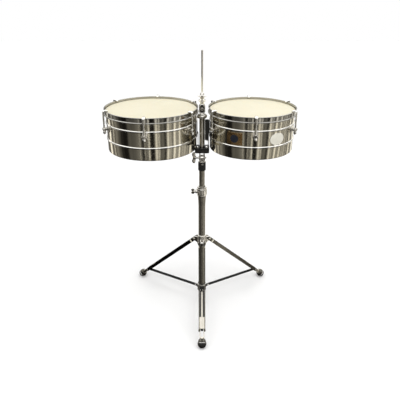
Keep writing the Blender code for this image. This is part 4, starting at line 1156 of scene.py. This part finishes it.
# Grey levels by height, from straight down (0) to straight up (1), and round the room.
CEILING = [(0.5, 0.0), (0.62, 0.2), (0.72, 0.85), (0.9, 1.3)]
SHINE = [(0.52, 0.0), (0.6, 0.3), (0.7, 1.6), (0.89, 2.4), (0.93, 0.8)]
ROOM = [(0.0, 0.06), (0.14, 0.15), (0.27, 1.0), (0.6, 0.8), (0.72, 0.0)]
STRIPES = ((1.3, [(0.42, 0.015), (0.62, 0.42)]), (5.5, [(0.55, 0.0), (0.64, 1.5)]))


def level_ramp(tree, source, stops):
    """Grey levels along a 0 to 1 value."""
    return ramp_of(tree, source, [(position, (level,) * 3) for position, level in stops])


def build_world():
    """White to the camera; to light and reflections a bright ceiling over a dim striped room."""
    world = bpy.data.worlds.new("studio")
    bpy.context.scene.world = world
    world.use_nodes = True
    tree = world.node_tree
    tree.nodes.clear()
    link = tree.links.new
    place = tree.nodes.new("ShaderNodeTexCoord")
    split = tree.nodes.new("ShaderNodeSeparateXYZ")
    link(place.outputs["Generated"], split.inputs["Vector"])
    height = tree.nodes.new("ShaderNodeMapRange")
    height.inputs["From Min"].default_value = -1.0
    link(split.outputs["Z"], height.inputs["Value"])
    ceiling, shine, room = [level_ramp(tree, height.outputs["Result"], stops) for stops in (CEILING, SHINE,
                                                                                            ROOM)]
    level = tree.nodes.new("ShaderNodeVectorMath")
    level.operation = "MULTIPLY"
    level.inputs[1].default_value = (1, 1, 0)
    link(place.outputs["Generated"], level.inputs[0])
    bearing = tree.nodes.new("ShaderNodeVectorMath")
    bearing.operation = "NORMALIZE"
    link(level.outputs["Vector"], bearing.inputs[0])
    stripes = []
    for scale, stops in STRIPES:
        noise = tree.nodes.new("ShaderNodeTexNoise")
        noise.inputs["Scale"].default_value = scale
        noise.inputs["Detail"].default_value = 3.0
        noise.inputs["Roughness"].default_value = 0.6
        link(bearing.outputs["Vector"], noise.inputs["Vector"])
        stripes.append(level_ramp(tree, noise.outputs["Fac"], stops))
    total = mix_of(tree, "ADD", stripes[0], stripes[1])
    walls = mix_of(tree, "MULTIPLY", total, room)
    path = tree.nodes.new("ShaderNodeLightPath")
    overhead = tree.nodes.new("ShaderNodeMix")
    overhead.data_type = "RGBA"
    link(path.outputs["Is Glossy Ray"], overhead.inputs[0])
    link(ceiling, overhead.inputs[6])
    link(shine, overhead.inputs[7])
    light = mix_of(tree, "ADD", mix_of(tree, "MULTIPLY", walls, WARM), overhead.outputs[2])
    surround = tree.nodes.new("ShaderNodeBackground")
    link(light, surround.inputs["Color"])
    paper = tree.nodes.new("ShaderNodeBackground")
    paper.inputs["Color"].default_value = (1, 1, 1, 1)
    mix = tree.nodes.new("ShaderNodeMixShader")
    link(path.outputs["Is Camera Ray"], mix.inputs["Fac"])
    link(surround.outputs["Background"], mix.inputs[1])
    link(paper.outputs["Background"], mix.inputs[2])
    out = tree.nodes.new("ShaderNodeOutputWorld")
    link(mix.outputs["Shader"], out.inputs["Surface"])


def mix_of(tree, how, first, second):
    """Blend two colours fully; either may be a socket or a constant."""
    mix = tree.nodes.new("ShaderNodeMix")
    mix.data_type = "RGBA"
    mix.blend_type = how
    factor, sources = mix.inputs[0], (mix.inputs[6], mix.inputs[7])
    factor.default_value = 1.0
    for socket, source in zip(sources, (first, second)):
        if isinstance(source, tuple):
            socket.default_value = (*source, 1)
        else:
            tree.links.new(source, socket)
    return mix.outputs[2]


def build_camera():
    _, rim_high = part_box("left_rim")
    data = bpy.data.cameras.new("camera")
    data.lens = LENS
    data.sensor_width = 36.0
    camera = new_object("camera", data)
    camera.location = (MAST_X + CAMERA_SIDE, MAST_Y - CAMERA_BACK, rim_high.z + CAMERA_ABOVE_RIM)
    camera.rotation_euler = (radians(90 - CAMERA_PITCH), 0, 0)
    bpy.context.scene.camera = camera


def build_studio():
    bpy.context.scene.view_settings.view_transform = "Standard"
    build_floor()
    build_world()
    area_light("overhead", (0.5, -0.4, 3.0), (0, 0, 0.4), 1.6, 1.6, 14)
    area_light("strip_left", (-2.4, -1.6, 1.6), (0, 0, 0.8), 0.4, 2.2, 8)
    area_light("strip_right", (2.2, -2.0, 1.7), (0, 0, 0.8), 0.5, 2.4, 12)
    build_camera()


repaint_rest()
build_all()
build_studio()
